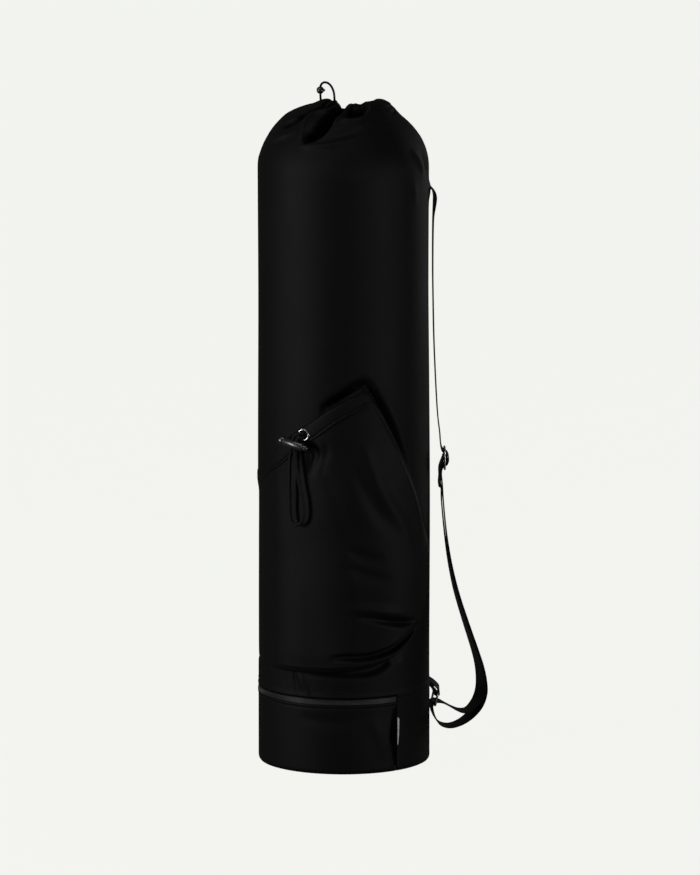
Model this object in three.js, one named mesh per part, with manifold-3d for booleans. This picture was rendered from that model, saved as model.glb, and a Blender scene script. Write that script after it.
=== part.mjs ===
// A tall drawstring yoga mat bag: a round cloth tube with a gathered top, a slanted drawcord pocket,
// a zipped bottom band and one webbing shoulder strap.
// Millimetres, +Z up. The origin is the middle of the round base, and -Y is the side with the pocket.
import * as THREE from 'three';
import { mergeVertices } from 'three/addons/utils/BufferGeometryUtils.js';
import Module from 'manifold-3d';

const wasm = await Module();
wasm.setup();

// Clearances and cloth
const SEWN_GAP = 0.3;
const SLIDING_GAP = 0.3;
const CLOTH = 1.6;

// Bag body
const BODY_RADIUS = 90;
const SHOULDER_HEIGHT = 636;
const DOME_RISE = 72;
const NECK_RADIUS = 42;
const CROWN_RISE = 7;
const MOUTH_RADIUS = 16.5;
const GATHER_SHIFT = 10;
const PLEAT_DEPTH = 8;
const PLEAT_WIDTH = 6.5;
const BODY_COLUMNS = 72;

// Bottom band, zip and base
const BAND_HEIGHT = 75;
const ZIP_HEIGHT = 8;
const BASE_THICKNESS = 2;
const BASE_INSET = 4.5;
const HEM_TURN_RADIUS = 5;
const SEAM_TURN = 39;
const STRAP_TURN = 97.6;
const COIL_WIDTH = 3;
const COIL_PROUD = 0.7;
const ZIP_SLIDER_LENGTH = 11;
const ZIP_SLIDER_WIDTH = 8;
const ZIP_SLIDER_HEIGHT = 3;
const ZIP_PULL_LENGTH = 24;
const ZIP_PULL_WIDTH = 6;
const ZIP_PULL_THICKNESS = 1.4;
const ZIP_SLIDER_INSET = 9;

// Side label
const LABEL_HEIGHT = 28;
const LABEL_REACH = 9;
const LABEL_THICKNESS = 1.2;
const LABEL_MIDDLE = 42;
const LABEL_LEAN = -27;

// Pocket
const POCKET_BOTTOM = 109;
const POCKET_HEIGHT = 303;
const POCKET_PUFF = 19;
const POCKET_HEM_WIDTH = 21;
const POCKET_HEM_THICKNESS = 3;
const POCKET_COLUMNS = 24;

// Pocket grommet, cord and cord lock
const POCKET_CORD = 3.8;
const GROMMET_BORE = 8.6;
const GROMMET_RIM = 13.4;
const GROMMET_WALL = 0.7;
const GROMMET_PROUD = 1;
const GROMMET_ACROSS = 0.54;
const GROMMET_DROP = 10;
const LOCK_SIDE = 11.02;
const LOCK_DROP = 9.46;
const LOCK_SEAT_GAP = 0.6;
const LOCK_TILT = 12;
const LOCK_LENGTH = 29;
const LOCK_DIAMETER = 9.6;
const LOCK_WALL = 1.2;
const LOCK_FLOOR = 1.5;
const LOCK_HOLE_SHIFT = 2.7;
const BUTTON_PROUD = 5.5;
const BUTTON_TRAVEL = 4;

// Top cord and stopper
const TOP_CORD = 2.4;
const STOPPER_DIAMETER = 8;
const STOPPER_NUB_DIAMETER = 2.4;
const STOPPER_NUB_LENGTH = 1.2;

// Shoulder strap
const WEBBING_WIDTH = 25;
const WEBBING = 1.4;
const LAYER_GAP = 0.5;
const STRAP_TOP_HEIGHT = 611;
const STRAP_SAG = 25.5;
const STRAP_REACH = 56;
const TAIL_LENGTH = 20;

// Strap slider and ring
const SLIDER_DOWN = 0.5;
const SLIDER_OUT = 18;
const SLIDER_PITCH = 10;
const SLIDER_TWIST = -7;
const SLIDER_BAR = 2.2;
const RING_WIRE = 2.4;
const RING_HEIGHT = 13.4;
const RING_LOW_HEIGHT = 56.5;
const RING_LOW_OUT = 6.4;
const RING_LEAN = 12;
const RING_SIDE_GAP = 0.6;

// Finishes
const cloth = () => new THREE.MeshStandardMaterial({ color: 0x0c0c0d, roughness: 0.85, metalness: 0 });
const webbing = () => new THREE.MeshStandardMaterial({ color: 0x0e0e10, roughness: 0.75, metalness: 0 });
const cord = () => new THREE.MeshStandardMaterial({ color: 0x111112, roughness: 0.8, metalness: 0 });
const plastic = () => new THREE.MeshStandardMaterial({ color: 0x1c1c1e, roughness: 0.35, metalness: 0 });
const steel = () => new THREE.MeshStandardMaterial({ color: 0xd2d4d6, roughness: 0.25, metalness: 1 });
const coil = () => new THREE.MeshStandardMaterial({ color: 0x29292b, roughness: 0.5, metalness: 0 });
const whiteTape = () => new THREE.MeshStandardMaterial({ color: 0xf2f2ee, roughness: 0.7, metalness: 0 });

const bag = new THREE.Group();

function add(name, geometry, material, parent = bag) {
  const mesh = new THREE.Mesh(geometry, material);
  mesh.name = name;
  parent.add(mesh);
  return mesh;
}

const FULL_TURN = 360;
const HALF_TURN = 180;

// A place on or near the bag: its distance from the bag's axis, its turn from the front, its height
function place(radius, turn, height) {
  const angle = THREE.MathUtils.degToRad(turn);
  return new THREE.Vector3(radius * Math.sin(angle), -radius * Math.cos(angle), height);
}

function outward(turn) {
  return place(1, turn, 0);
}

function sideways(turn) {
  return place(1, turn + 90, 0);
}

function smooth(low, high, value) {
  return THREE.MathUtils.smoothstep(value, low, high);
}

// A value read from a table at a share, on a smooth curve through the table's rows
function readTable(rows, key, column, share) {
  const last = rows.length - 1;
  let row = 0;
  while (row < last - 1 && rows[row + 1][key] < share) row += 1;
  const local = THREE.MathUtils.clamp((share - rows[row][key]) / (rows[row + 1][key] - rows[row][key]), 0, 1);
  const eased = local * local * (3 - 2 * local);
  return THREE.MathUtils.lerp(rows[row][column], rows[row + 1][column], eased);
}

function geometryFrom(vertices, triangles) {
  const geometry = new THREE.BufferGeometry();
  geometry.setAttribute('position', new THREE.Float32BufferAttribute(vertices.flatMap((v) => [v.x, v.y, v.z]), 3));
  geometry.setIndex(triangles);
  return geometry;
}

// A wall of cloth between an outer and an inner grid of places, each a list of rows that go up the bag
function wallSolid(outer, inner, closedAround) {
  const rows = outer.length;
  const columns = outer[0].length;
  const vertices = [...outer.flat(), ...inner.flat()];
  const triangles = [];
  const out = (row, column) => row * columns + (column % columns);
  const into = (row, column) => rows * columns + out(row, column);
  const quad = (a, b, c, d) => triangles.push(a, b, c, a, c, d);
  const spans = closedAround ? columns : columns - 1;
  for (let row = 0; row < rows - 1; row += 1) {
    for (let column = 0; column < spans; column += 1) {
      quad(out(row, column), out(row, column + 1), out(row + 1, column + 1), out(row + 1, column));
      quad(into(row, column + 1), into(row, column), into(row + 1, column), into(row + 1, column + 1));
    }
  }
  const top = rows - 1;
  for (let column = 0; column < spans; column += 1) {
    quad(into(0, column), into(0, column + 1), out(0, column + 1), out(0, column));
    quad(out(top, column), out(top, column + 1), into(top, column + 1), into(top, column));
  }
  if (!closedAround) {
    const end = columns - 1;
    for (let row = 0; row < top; row += 1) {
      quad(out(row, 0), out(row + 1, 0), into(row + 1, 0), into(row, 0));
      quad(out(row, end), into(row, end), into(row + 1, end), out(row + 1, end));
    }
  }
  return geometryFrom(vertices, triangles);
}

// A bar whose flat section is lofted through stations of a place, a width direction and a face direction
function flatBar(stations, width, thickness) {
  const corners = [[-0.5, -0.5], [0.5, -0.5], [0.5, 0.5], [-0.5, 0.5]];
  const vertices = stations.flatMap(({ at, across, face }) => corners.map(([w, t]) => (
    at.clone().addScaledVector(across, w * width).addScaledVector(face, t * thickness))));
  const triangles = [];
  const end = (stations.length - 1) * 4;
  for (let start = 0; start < end; start += 4) {
    for (let side = 0; side < 4; side += 1) {
      const next = (side + 1) % 4;
      triangles.push(start + side, start + next, start + 4 + next, start + side, start + 4 + next, start + 4 + side);
    }
  }
  triangles.push(0, 2, 1, 0, 3, 2, end, end + 1, end + 2, end, end + 2, end + 3);
  return facedOut(geometryFrom(vertices, triangles));
}

function volumeOf(geometry) {
  const position = geometry.getAttribute('position');
  const index = geometry.getIndex();
  const corner = (i) => new THREE.Vector3().fromBufferAttribute(position, index.getX(i));
  let volume = 0;
  for (let i = 0; i < index.count; i += 3) volume += corner(i).dot(corner(i + 1).cross(corner(i + 2))) / 6;
  return volume;
}

function facedOut(geometry) {
  if (volumeOf(geometry) < 0) geometry.setIndex(Array.from(geometry.getIndex().array).reverse());
  return geometry;
}

// A round cord along a smooth curve through its route's points
function roundCord(route, diameter, sides, steps) {
  const section = new THREE.Shape(Array.from({ length: sides }, (_, side) => {
    const angle = (2 * Math.PI * (side + 0.5)) / sides;
    return new THREE.Vector2(Math.cos(angle), Math.sin(angle)).multiplyScalar(diameter / 2);
  }));
  const path = new THREE.CatmullRomCurve3(route.map((point) => new THREE.Vector3(...point)), false, 'centripetal');
  return new THREE.ExtrudeGeometry(section, { steps, bevelEnabled: false, extrudePath: path });
}

// A turned piece whose axis is X, from a profile of [along, radius] points
function turnedAlongX(profile, sides) {
  const points = profile.map(([along, radius]) => new THREE.Vector2(radius, along));
  return new THREE.LatheGeometry(points, sides).rotateZ(-Math.PI / 2);
}

function toManifold(geometry) {
  const bare = geometry.clone();
  bare.deleteAttribute('normal');
  bare.deleteAttribute('uv');
  const welded = mergeVertices(bare, 1e-4);
  return new wasm.Manifold(new wasm.Mesh({
    numProp: 3,
    vertProperties: new Float32Array(welded.getAttribute('position').array),
    triVerts: new Uint32Array(welded.getIndex().array),
  }));
}

function fromManifold(solid) {
  const { vertProperties, triVerts } = solid.getMesh();
  const geometry = new THREE.BufferGeometry();
  geometry.setAttribute('position', new THREE.Float32BufferAttribute(vertProperties, 3));
  geometry.setIndex(Array.from(triVerts));
  return geometry;
}

function cutAway(geometry, tool) {
  return fromManifold(toManifold(geometry).subtract(toManifold(tool)));
}

function joined(first, ...others) {
  return fromManifold(others.reduce((solid, other) => solid.add(toManifold(other)), toManifold(first)));
}

// Body tube, dome and gathered mouth: one meridian, with a row where the cloth is shaped
const DOME_ROWS = [0.26, 0.45, 0.61, 0.74, 0.84, 0.92, 1];
const MOUTH_ROWS = [
  { inward: SEWN_GAP / (NECK_RADIUS - MOUTH_RADIUS), rise: SEWN_GAP / CROWN_RISE, gather: 1 },
  { inward: 0.2, rise: 0.55, gather: 1 },
  { inward: 0.42, rise: 0.92, gather: 0.95 },
  { inward: 0.62, rise: 1, gather: 0.8 },
  { inward: 0.8, rise: 0.7, gather: 0.62 },
  { inward: 0.93, rise: -0.3, gather: 0.5 },
  { inward: 1, rise: -1.2, gather: 0.42 },
  { inward: 1, rise: -2.4, gather: 0.38 },
];

// Each pleat's valley: its turn at the neck, how it sways further down, where it starts and how deep it is
const PLEATS = [
  { turn: -24, sway: -15, start: 0.22, depth: 1.35, width: 1.1 },
  { turn: 6.5, sway: 0, start: 0.72, depth: 1.0, width: 1.15 },
  { turn: 44, sway: 5, start: 0.8, depth: 0.5, width: 0.8 },
  { turn: 79, sway: 6, start: 0.75, depth: 0.75, width: 0.8 },
  { turn: 114, sway: 9, start: 0.4, depth: 0.9, width: 1.0 },
  { turn: 150, sway: -8, start: 0.5, depth: 1.0, width: 0.95 },
  { turn: 186, sway: 8, start: 0.35, depth: 1.05, width: 1.0 },
  { turn: 223, sway: -6, start: 0.55, depth: 0.85, width: 0.9 },
  { turn: 259, sway: 6, start: 0.4, depth: 0.9, width: 0.9 },
  { turn: 292, sway: 2, start: 0.4, depth: 0.95, width: 0.75 },
];

const neckHeight = SHOULDER_HEIGHT + DOME_RISE * Math.sqrt(1 - (NECK_RADIUS / BODY_RADIUS) ** 2);
const bandTop = BAND_HEIGHT + ZIP_HEIGHT;

function neckShare(radius) {
  return (BODY_RADIUS - radius) / (BODY_RADIUS - NECK_RADIUS);
}

function bodyRows() {
  const rows = [
    { radius: BODY_RADIUS, height: bandTop },
    { radius: BODY_RADIUS, height: THREE.MathUtils.lerp(bandTop, SHOULDER_HEIGHT, 0.5) },
    { radius: BODY_RADIUS, height: SHOULDER_HEIGHT },
  ];
  for (const lift of DOME_ROWS) {
    const angle = lift * Math.acos(NECK_RADIUS / BODY_RADIUS);
    rows.push({
      radius: BODY_RADIUS * Math.cos(angle),
      height: SHOULDER_HEIGHT + DOME_RISE * Math.sin(angle),
    });
  }
  return rows.map((row) => ({ ...row, share: neckShare(row.radius), gather: 1 }));
}

function mouthRows() {
  return MOUTH_ROWS.map(({ inward, rise, gather }) => ({
    radius: THREE.MathUtils.lerp(NECK_RADIUS, MOUTH_RADIUS, inward),
    height: neckHeight + CROWN_RISE * rise,
    share: 1 + inward,
    gather,
  }));
}

// The direction out of the cloth at each row, from the rows on either side of it
function withNormals(rows) {
  return rows.map((row, i) => {
    const before = rows[Math.max(i - 1, 0)];
    const after = rows[Math.min(i + 1, rows.length - 1)];
    const normal = new THREE.Vector2(after.height - before.height, before.radius - after.radius).normalize();
    return { ...row, normal };
  });
}

function pleatDepth(turn, row) {
  let depth = 0;
  for (const pleat of PLEATS) {
    const middle = pleat.turn + pleat.sway * (1 - Math.min(row.share, 1));
    const between = THREE.MathUtils.euclideanModulo(turn - middle + HALF_TURN, FULL_TURN) - HALF_TURN;
    const apart = THREE.MathUtils.degToRad(between) * row.radius;
    const reach = smooth(pleat.start, pleat.start + 0.45, row.share);
    depth += reach * pleat.depth * Math.exp(-((apart / (PLEAT_WIDTH * pleat.width)) ** 2));
  }
  return depth * PLEAT_DEPTH * row.gather;
}

function bodyPlace(row, turn, inset) {
  const sunk = pleatDepth(turn, row) + inset;
  const radius = row.radius - row.normal.x * sunk;
  const at = place(radius, turn, row.height - row.normal.y * sunk);
  at.x += GATHER_SHIFT * smooth(0, 1, row.share);
  return at;
}

function bodyWall(rows, columns) {
  const grid = (inset) => rows.map((row) => (
    Array.from({ length: columns }, (_, column) => bodyPlace(row, (FULL_TURN * column) / columns, inset))));
  return wallSolid(grid(0), grid(CLOTH), true);
}

const meridian = withNormals([...bodyRows(), ...mouthRows()]);
const bodyRowCount = bodyRows().length;
add('body_shell', bodyWall(meridian.slice(0, bodyRowCount), BODY_COLUMNS), cloth());
add('mouth_casing', bodyWall(meridian.slice(bodyRowCount), BODY_COLUMNS), cloth());

// Bottom band: a front panel under the zip and a back panel that is sewn to the body
const BAND_STEP = 7.5;
const backSeamTurn = 2 * STRAP_TURN - SEAM_TURN;

function bandProfile(top) {
  return [
    { radius: BODY_RADIUS - HEM_TURN_RADIUS + CLOTH, height: BASE_THICKNESS * 0.3 },
    { radius: BODY_RADIUS - HEM_TURN_RADIUS * 0.3, height: HEM_TURN_RADIUS * 0.3 },
    { radius: BODY_RADIUS, height: HEM_TURN_RADIUS },
    { radius: BODY_RADIUS, height: top },
  ];
}

function sectorWall(profile, fromTurn, toTurn, thickness) {
  const spans = Math.max(1, Math.round((toTurn - fromTurn) / BAND_STEP));
  const rows = withNormals(profile);
  const grid = (inset) => rows.map((row) => Array.from({ length: spans + 1 }, (_, i) => place(
    row.radius - row.normal.x * inset,
    THREE.MathUtils.lerp(fromTurn, toTurn, i / spans),
    row.height - row.normal.y * inset,
  )));
  return wallSolid(grid(0), grid(thickness), false);
}

const gapTurn = THREE.MathUtils.radToDeg(SEWN_GAP / BODY_RADIUS);
const zipFrom = backSeamTurn - FULL_TURN + gapTurn / 2;
const zipTo = SEAM_TURN - gapTurn / 2;
const backFrom = SEAM_TURN + gapTurn / 2;
const backTo = backSeamTurn - gapTurn / 2;
add('band_front', sectorWall(bandProfile(BAND_HEIGHT - SEWN_GAP), zipFrom, zipTo, CLOTH), cloth());
add('band_back', sectorWall(bandProfile(bandTop - SEWN_GAP), backFrom, backTo, CLOTH), cloth());

function flatRing(radius, low, high) {
  return [{ radius, height: low }, { radius, height: high }];
}

const zipRadius = BODY_RADIUS - COIL_PROUD;
const zipMiddle = BAND_HEIGHT + ZIP_HEIGHT / 2;
add('zip_tape', sectorWall(flatRing(zipRadius, BAND_HEIGHT, bandTop - SEWN_GAP), zipFrom, zipTo, CLOTH), cloth());
add('zip_coil', sectorWall(
  flatRing(BODY_RADIUS + COIL_PROUD + SEWN_GAP, zipMiddle - COIL_WIDTH / 2, zipMiddle + COIL_WIDTH / 2),
  zipFrom,
  zipTo,
  2 * COIL_PROUD,
), coil());

// Base: a flat round panel that the bag stands on
function basePanel() {
  const radius = BODY_RADIUS - BASE_INSET;
  const profile = [[0, 0], [radius, 0], [radius, BASE_THICKNESS], [0, BASE_THICKNESS]];
  const points = profile.map(([r, height]) => new THREE.Vector2(r, height));
  return new THREE.LatheGeometry(points, BODY_COLUMNS / 2).rotateX(Math.PI / 2);
}

add('base_panel', basePanel(), cloth());

// Zip slider with its pull, parked at the far end of the zip behind the bag
function zipSlider() {
  const body = new THREE.BoxGeometry(ZIP_SLIDER_LENGTH, ZIP_SLIDER_HEIGHT, ZIP_SLIDER_WIDTH);
  const pull = new THREE.BoxGeometry(ZIP_PULL_WIDTH, ZIP_PULL_THICKNESS, ZIP_PULL_LENGTH);
  pull.translate(0, -(ZIP_SLIDER_HEIGHT + ZIP_PULL_THICKNESS) / 2 + SEWN_GAP, -ZIP_PULL_LENGTH / 2 + ZIP_PULL_WIDTH / 2);
  return joined(body, pull);
}

const zipSliderTurn = zipFrom + ZIP_SLIDER_INSET;
const zipSliderGroup = new THREE.Group();
const coilFace = BODY_RADIUS + COIL_PROUD + SEWN_GAP;
const zipSliderStand = coilFace + SEWN_GAP + ZIP_SLIDER_HEIGHT / 2;
zipSliderGroup.position.copy(place(zipSliderStand, zipSliderTurn, zipMiddle));
zipSliderGroup.rotation.z = THREE.MathUtils.degToRad(zipSliderTurn);
add('zip_slider', zipSlider(), plastic(), zipSliderGroup);
bag.add(zipSliderGroup);

// Bare white label: a short folded tape caught in the band's front seam
function sideLabel() {
  const half = LABEL_THICKNESS / 2;
  const outline = new THREE.Shape();
  outline.moveTo(-half, 0);
  outline.lineTo(-half, -LABEL_REACH + half);
  outline.absarc(0, -LABEL_REACH + half, half, Math.PI, 2 * Math.PI, false);
  outline.lineTo(half, 0);
  outline.closePath();
  const options = { depth: LABEL_HEIGHT, bevelEnabled: false, curveSegments: 6 };
  return new THREE.ExtrudeGeometry(outline, options);
}

const labelGroup = new THREE.Group();
labelGroup.position.copy(place(BODY_RADIUS + 2 * SEWN_GAP, SEAM_TURN, LABEL_MIDDLE - LABEL_HEIGHT / 2));
labelGroup.rotation.z = THREE.MathUtils.degToRad(SEAM_TURN + LABEL_LEAN);
add('side_label', sideLabel(), whiteTape(), labelGroup);
bag.add(labelGroup);

// Pocket outline: turns are in degrees from the front, heights are shares of the pocket's height
const POCKET_FOOT = [
  { turn: -108, up: 0.01 },
  { turn: -70, up: 0 },
  { turn: -27, up: 0 },
  { turn: 0, up: 0.007 },
  { turn: 20, up: 0.025 },
  { turn: 38, up: 0.08 },
  { turn: 50, up: 0.18 },
];
const POCKET_RIGHT = [
  { turn: 50, up: 0.18 },
  { turn: 56, up: 0.25 },
  { turn: 60, up: 0.35 },
  { turn: 60, up: 0.46 },
  { turn: 56, up: 0.56 },
  { turn: 49, up: 0.66 },
  { turn: 41, up: 0.755 },
  { turn: 31, up: 0.865 },
  { turn: 21, up: 0.955 },
  { turn: 13, up: 1 },
];
const POCKET_MOUTH = [
  { turn: -108, up: 0.62 },
  { turn: -80, up: 0.682 },
  { turn: -61, up: 0.745 },
  { turn: -48, up: 0.78 },
  { turn: -29, up: 0.86 },
  { turn: -22, up: 0.885 },
  { turn: -8, up: 0.942 },
  { turn: 6, up: 0.985 },
  { turn: 13, up: 1 },
];
const POCKET_LEFT = [
  { turn: -108, up: 0.01 },
  { turn: -108, up: 0.62 },
];
const PUFF_ACROSS = [
  { across: 0, stand: 0.02 },
  { across: 0.15, stand: 0.06 },
  { across: 0.35, stand: 0.32 },
  { across: 0.55, stand: 0.72 },
  { across: 0.75, stand: 1 },
  { across: 0.92, stand: 0.85 },
  { across: 1, stand: 0 },
];
const PUFF_UP = [
  { up: 0, stand: 0 },
  { up: 0.1, stand: 0.85 },
  { up: 0.3, stand: 1 },
  { up: 0.6, stand: 0.78 },
  { up: 0.85, stand: 0.5 },
  { up: 1, stand: 0.4 },
];
const POCKET_RISES = [0, 0.03, 0.07, 0.12, 0.2, 0.3, 0.42, 0.54, 0.66, 0.78, 0.9, 1];
const HEM_RISES = [0, 0.5, 1];

function edgeCurve(rows) {
  const points = rows.map(({ turn, up }) => new THREE.Vector3(turn, POCKET_BOTTOM + POCKET_HEIGHT * up, 0));
  return new THREE.CatmullRomCurve3(points, false, 'centripetal');
}

const footCurve = edgeCurve(POCKET_FOOT);
const rightCurve = edgeCurve(POCKET_RIGHT);
const mouthCurve = edgeCurve(POCKET_MOUTH);
const leftCurve = edgeCurve(POCKET_LEFT);

// A place on the pocket's sheet, blended from its four edges: turn and height
function pocketSpot(across, up) {
  const foot = footCurve.getPoint(across);
  const mouth = mouthCurve.getPoint(across);
  const left = leftCurve.getPoint(up);
  const right = rightCurve.getPoint(up);
  const spot = foot.multiplyScalar(1 - up).add(mouth.multiplyScalar(up));
  spot.add(left.multiplyScalar(1 - across)).add(right.multiplyScalar(across));
  spot.addScaledVector(footCurve.getPoint(0), -(1 - across) * (1 - up));
  spot.addScaledVector(footCurve.getPoint(1), -across * (1 - up));
  spot.addScaledVector(mouthCurve.getPoint(0), -(1 - across) * up);
  spot.addScaledVector(mouthCurve.getPoint(1), -across * up);
  return spot;
}

function puff(across, up) {
  return POCKET_PUFF * readTable(PUFF_ACROSS, 'across', 'stand', across) * readTable(PUFF_UP, 'up', 'stand', up);
}

// The share of the pocket's height where the hem starts, so that the hem keeps its width
function hemStart(across) {
  const tall = mouthCurve.getPoint(across).y - footCurve.getPoint(across).y;
  return 1 - POCKET_HEM_WIDTH / tall;
}

const ACROSS_EASE = 1.35;

// Shares across the pocket, closer together towards its puffed right edge
function pocketShares() {
  return Array.from({ length: POCKET_COLUMNS + 1 }, (_, i) => 1 - (1 - i / POCKET_COLUMNS) ** ACROSS_EASE);
}

function pocketSheet(rises, riseAt, stand, thickness) {
  const grid = (lift) => rises.map((rise) => pocketShares().map((across) => {
    const up = riseAt(across, rise);
    const spot = pocketSpot(across, up);
    return place(BODY_RADIUS + stand(across, up) + lift, spot.x, spot.y);
  }));
  return wallSolid(grid(thickness), grid(0), false);
}

const sewnStand = (across, up) => 3 * SEWN_GAP + puff(across, up);
const seamShare = SEWN_GAP / (POCKET_HEIGHT * 0.62);
const pouchRise = (across, rise) => rise * (hemStart(across) - seamShare);
const hemRise = (across, rise) => THREE.MathUtils.lerp(hemStart(across), 1, rise);
add('pocket_pouch', pocketSheet(POCKET_RISES, pouchRise, sewnStand, CLOTH), cloth());

// A piece's own frame on the bag's face: X goes round to the right, Y goes into the bag, Z goes up
function faceFrame(radius, turn, height, tilt = 0) {
  const group = new THREE.Group();
  group.position.copy(place(radius, turn, height));
  const axes = new THREE.Matrix4().makeBasis(sideways(turn), outward(turn).negate(), new THREE.Vector3(0, 0, 1));
  group.quaternion.setFromRotationMatrix(axes);
  group.rotateY(THREE.MathUtils.degToRad(tilt));
  bag.add(group);
  return group;
}

// Pocket hem with the hole for its grommet
const hemTall = mouthCurve.getPoint(GROMMET_ACROSS).y - footCurve.getPoint(GROMMET_ACROSS).y;
const grommetUp = 1 - GROMMET_DROP / hemTall;
const grommetSpot = pocketSpot(GROMMET_ACROSS, grommetUp);
const grommetFace = BODY_RADIUS + sewnStand(GROMMET_ACROSS, grommetUp) + POCKET_HEM_THICKNESS;
const grommetOuter = GROMMET_BORE / 2 + GROMMET_WALL;

function pocketHem() {
  const sheet = pocketSheet(HEM_RISES, hemRise, sewnStand, POCKET_HEM_THICKNESS);
  const depth = 4 * POCKET_HEM_THICKNESS;
  const hole = new THREE.CylinderGeometry(grommetOuter + SLIDING_GAP, grommetOuter + SLIDING_GAP, depth, 16);
  const frame = new THREE.Object3D();
  frame.position.copy(place(grommetFace, grommetSpot.x, grommetSpot.y));
  frame.rotation.z = THREE.MathUtils.degToRad(grommetSpot.x);
  frame.updateMatrix();
  hole.applyMatrix4(frame.matrix);
  return cutAway(sheet, hole);
}

add('pocket_hem', pocketHem(), cloth());

function grommet() {
  const bore = GROMMET_BORE / 2;
  const back = POCKET_HEM_THICKNESS;
  const profile = [
    [back, bore],
    [-GROMMET_PROUD * 0.7, bore],
    [-GROMMET_PROUD - SEWN_GAP, (bore + GROMMET_RIM / 2) / 2],
    [-GROMMET_PROUD * 0.7, GROMMET_RIM / 2],
    [-SEWN_GAP, GROMMET_RIM / 2],
    [-SEWN_GAP, grommetOuter],
    [back, grommetOuter],
    [back, bore],
  ];
  const points = profile.map(([depth, radius]) => new THREE.Vector2(radius, depth));
  return facedOut(mergeVertices(new THREE.LatheGeometry(points, 20)));
}

add('pocket_grommet', grommet(), steel(), faceFrame(grommetFace + SEWN_GAP, grommetSpot.x, grommetSpot.y));

// Barrel cord lock with its spring button, both cut through for two strands of cord
const lockStand = grommetFace + LOCK_DIAMETER / 2 + LOCK_SEAT_GAP;
const lockTurn = grommetSpot.x - THREE.MathUtils.radToDeg(LOCK_SIDE / grommetFace);
const lockFrame = faceFrame(lockStand, lockTurn, grommetSpot.y - LOCK_DROP, LOCK_TILT);
const lockBore = LOCK_DIAMETER / 2 - LOCK_WALL;
const slotLength = 2 * POCKET_CORD + 3 * SLIDING_GAP;
const slotWidth = POCKET_CORD + 2 * SLIDING_GAP;

function cordSlot(extra) {
  const slot = new THREE.BoxGeometry(slotLength + extra, slotWidth, 2 * LOCK_DIAMETER);
  return slot.translate(LOCK_HOLE_SHIFT + extra / 2, 0, 0);
}

function lockBarrel() {
  const half = LOCK_LENGTH / 2;
  const radius = LOCK_DIAMETER / 2;
  const edge = LOCK_WALL / 2;
  return cutAway(turnedAlongX([
    [-half, 0],
    [-half, radius - edge],
    [-half + edge, radius],
    [half - edge, radius],
    [half, radius - edge],
    [half, lockBore],
    [-half + LOCK_FLOOR, lockBore],
    [-half + LOCK_FLOOR, 0],
  ], 16), cordSlot(0));
}

function lockButton() {
  const inner = -LOCK_LENGTH / 2 + LOCK_FLOOR + BUTTON_TRAVEL + 2 * SLIDING_GAP;
  const tip = LOCK_LENGTH / 2 + BUTTON_PROUD;
  const radius = lockBore - SLIDING_GAP;
  return cutAway(turnedAlongX([
    [inner, 0],
    [inner, radius],
    [tip - radius * 0.6, radius],
    [tip - radius * 0.2, radius * 0.75],
    [tip, radius * 0.3],
    [tip, 0],
  ], 16), cordSlot(BUTTON_TRAVEL));
}

add('pocket_lock_barrel', lockBarrel(), plastic(), lockFrame);
add('pocket_lock_button', lockButton(), plastic(), lockFrame);

// Pocket drawcord: out of the grommet, through the lock, a hanging loop and back, in the lock's frame
const POCKET_CORD_ROUTE = [
  [8.7, 8, 13.5],
  [8.6, 5.2, 13.6],
  [8.1, 2.6, 13.5],
  [6.2, 0.4, 12.8],
  [3.0, -0.3, 11.0],
  [1.1, -0.1, 7.6],
  [0.7, 0, 4],
  [0.7, 0, -5],
  [-0.4, 0.2, -16],
  [-1.6, 0.4, -30],
  [-1.4, 0.5, -46],
  [-0.8, 0.5, -60],
  [-0.2, 0.4, -73],
  [3.4, 0.3, -81.5],
  [10.2, 0.2, -84.2],
  [16.8, 0.2, -80.6],
  [19.4, 0.3, -72],
  [17.8, 0.4, -58],
  [13.4, 0.4, -42],
  [8.8, 0.2, -26],
  [5.6, 0, -13],
  [4.7, 0, -5],
  [4.7, 0, 3],
  [5.4, 0.1, 6.6],
  [6.9, 0.9, 8.3],
  [8.2, 2.6, 9.1],
  [8.7, 5.2, 9.4],
  [8.7, 8, 9.5],
];
add('pocket_cord', roundCord(POCKET_CORD_ROUTE, POCKET_CORD, 8, 62), cord(), lockFrame);

// Top drawcord: a small loop out of the gathers, through a ball stopper and back into them. Heights are
// above the neck.
const TOP_CORD_ROUTE = [
  [-9.7, -6, -2.08],
  [-9.4, -6, 1.32],
  [-9.3, -6, 7.32],
  [-9.6, -6, 12.72],
  [-10.6, -6, 17.32],
  [-12.8, -6, 21.92],
  [-16.2, -6, 25.22],
  [-20.2, -6, 25.92],
  [-23.2, -6, 23.72],
  [-24.2, -6, 20.12],
  [-24.2, -6, 16.32],
  [-24.0, -6, 11.32],
  [-23.6, -6, 4.67],
];
const topCordGroup = new THREE.Group();
topCordGroup.position.z = neckHeight;
add('top_cord', roundCord(TOP_CORD_ROUTE, TOP_CORD, 8, 34), cord(), topCordGroup);
bag.add(topCordGroup);

function stopper() {
  const radius = STOPPER_DIAMETER / 2;
  const ball = new THREE.SphereGeometry(radius, 16, 10).rotateX(Math.PI / 2);
  const nub = new THREE.CylinderGeometry(STOPPER_NUB_DIAMETER / 2, STOPPER_NUB_DIAMETER / 2, 2 * STOPPER_NUB_LENGTH, 8);
  nub.rotateZ(Math.PI / 2).translate(radius, 0, 0);
  const bore = new THREE.CylinderGeometry(TOP_CORD / 2 + SLIDING_GAP, TOP_CORD / 2 + SLIDING_GAP, 2 * STOPPER_DIAMETER, 12);
  return cutAway(joined(ball, nub), bore.rotateX(Math.PI / 2));
}

const stopperMesh = add('top_stopper', stopper(), plastic(), topCordGroup);
stopperMesh.position.set(-24.2, -6, 17.72);

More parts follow.
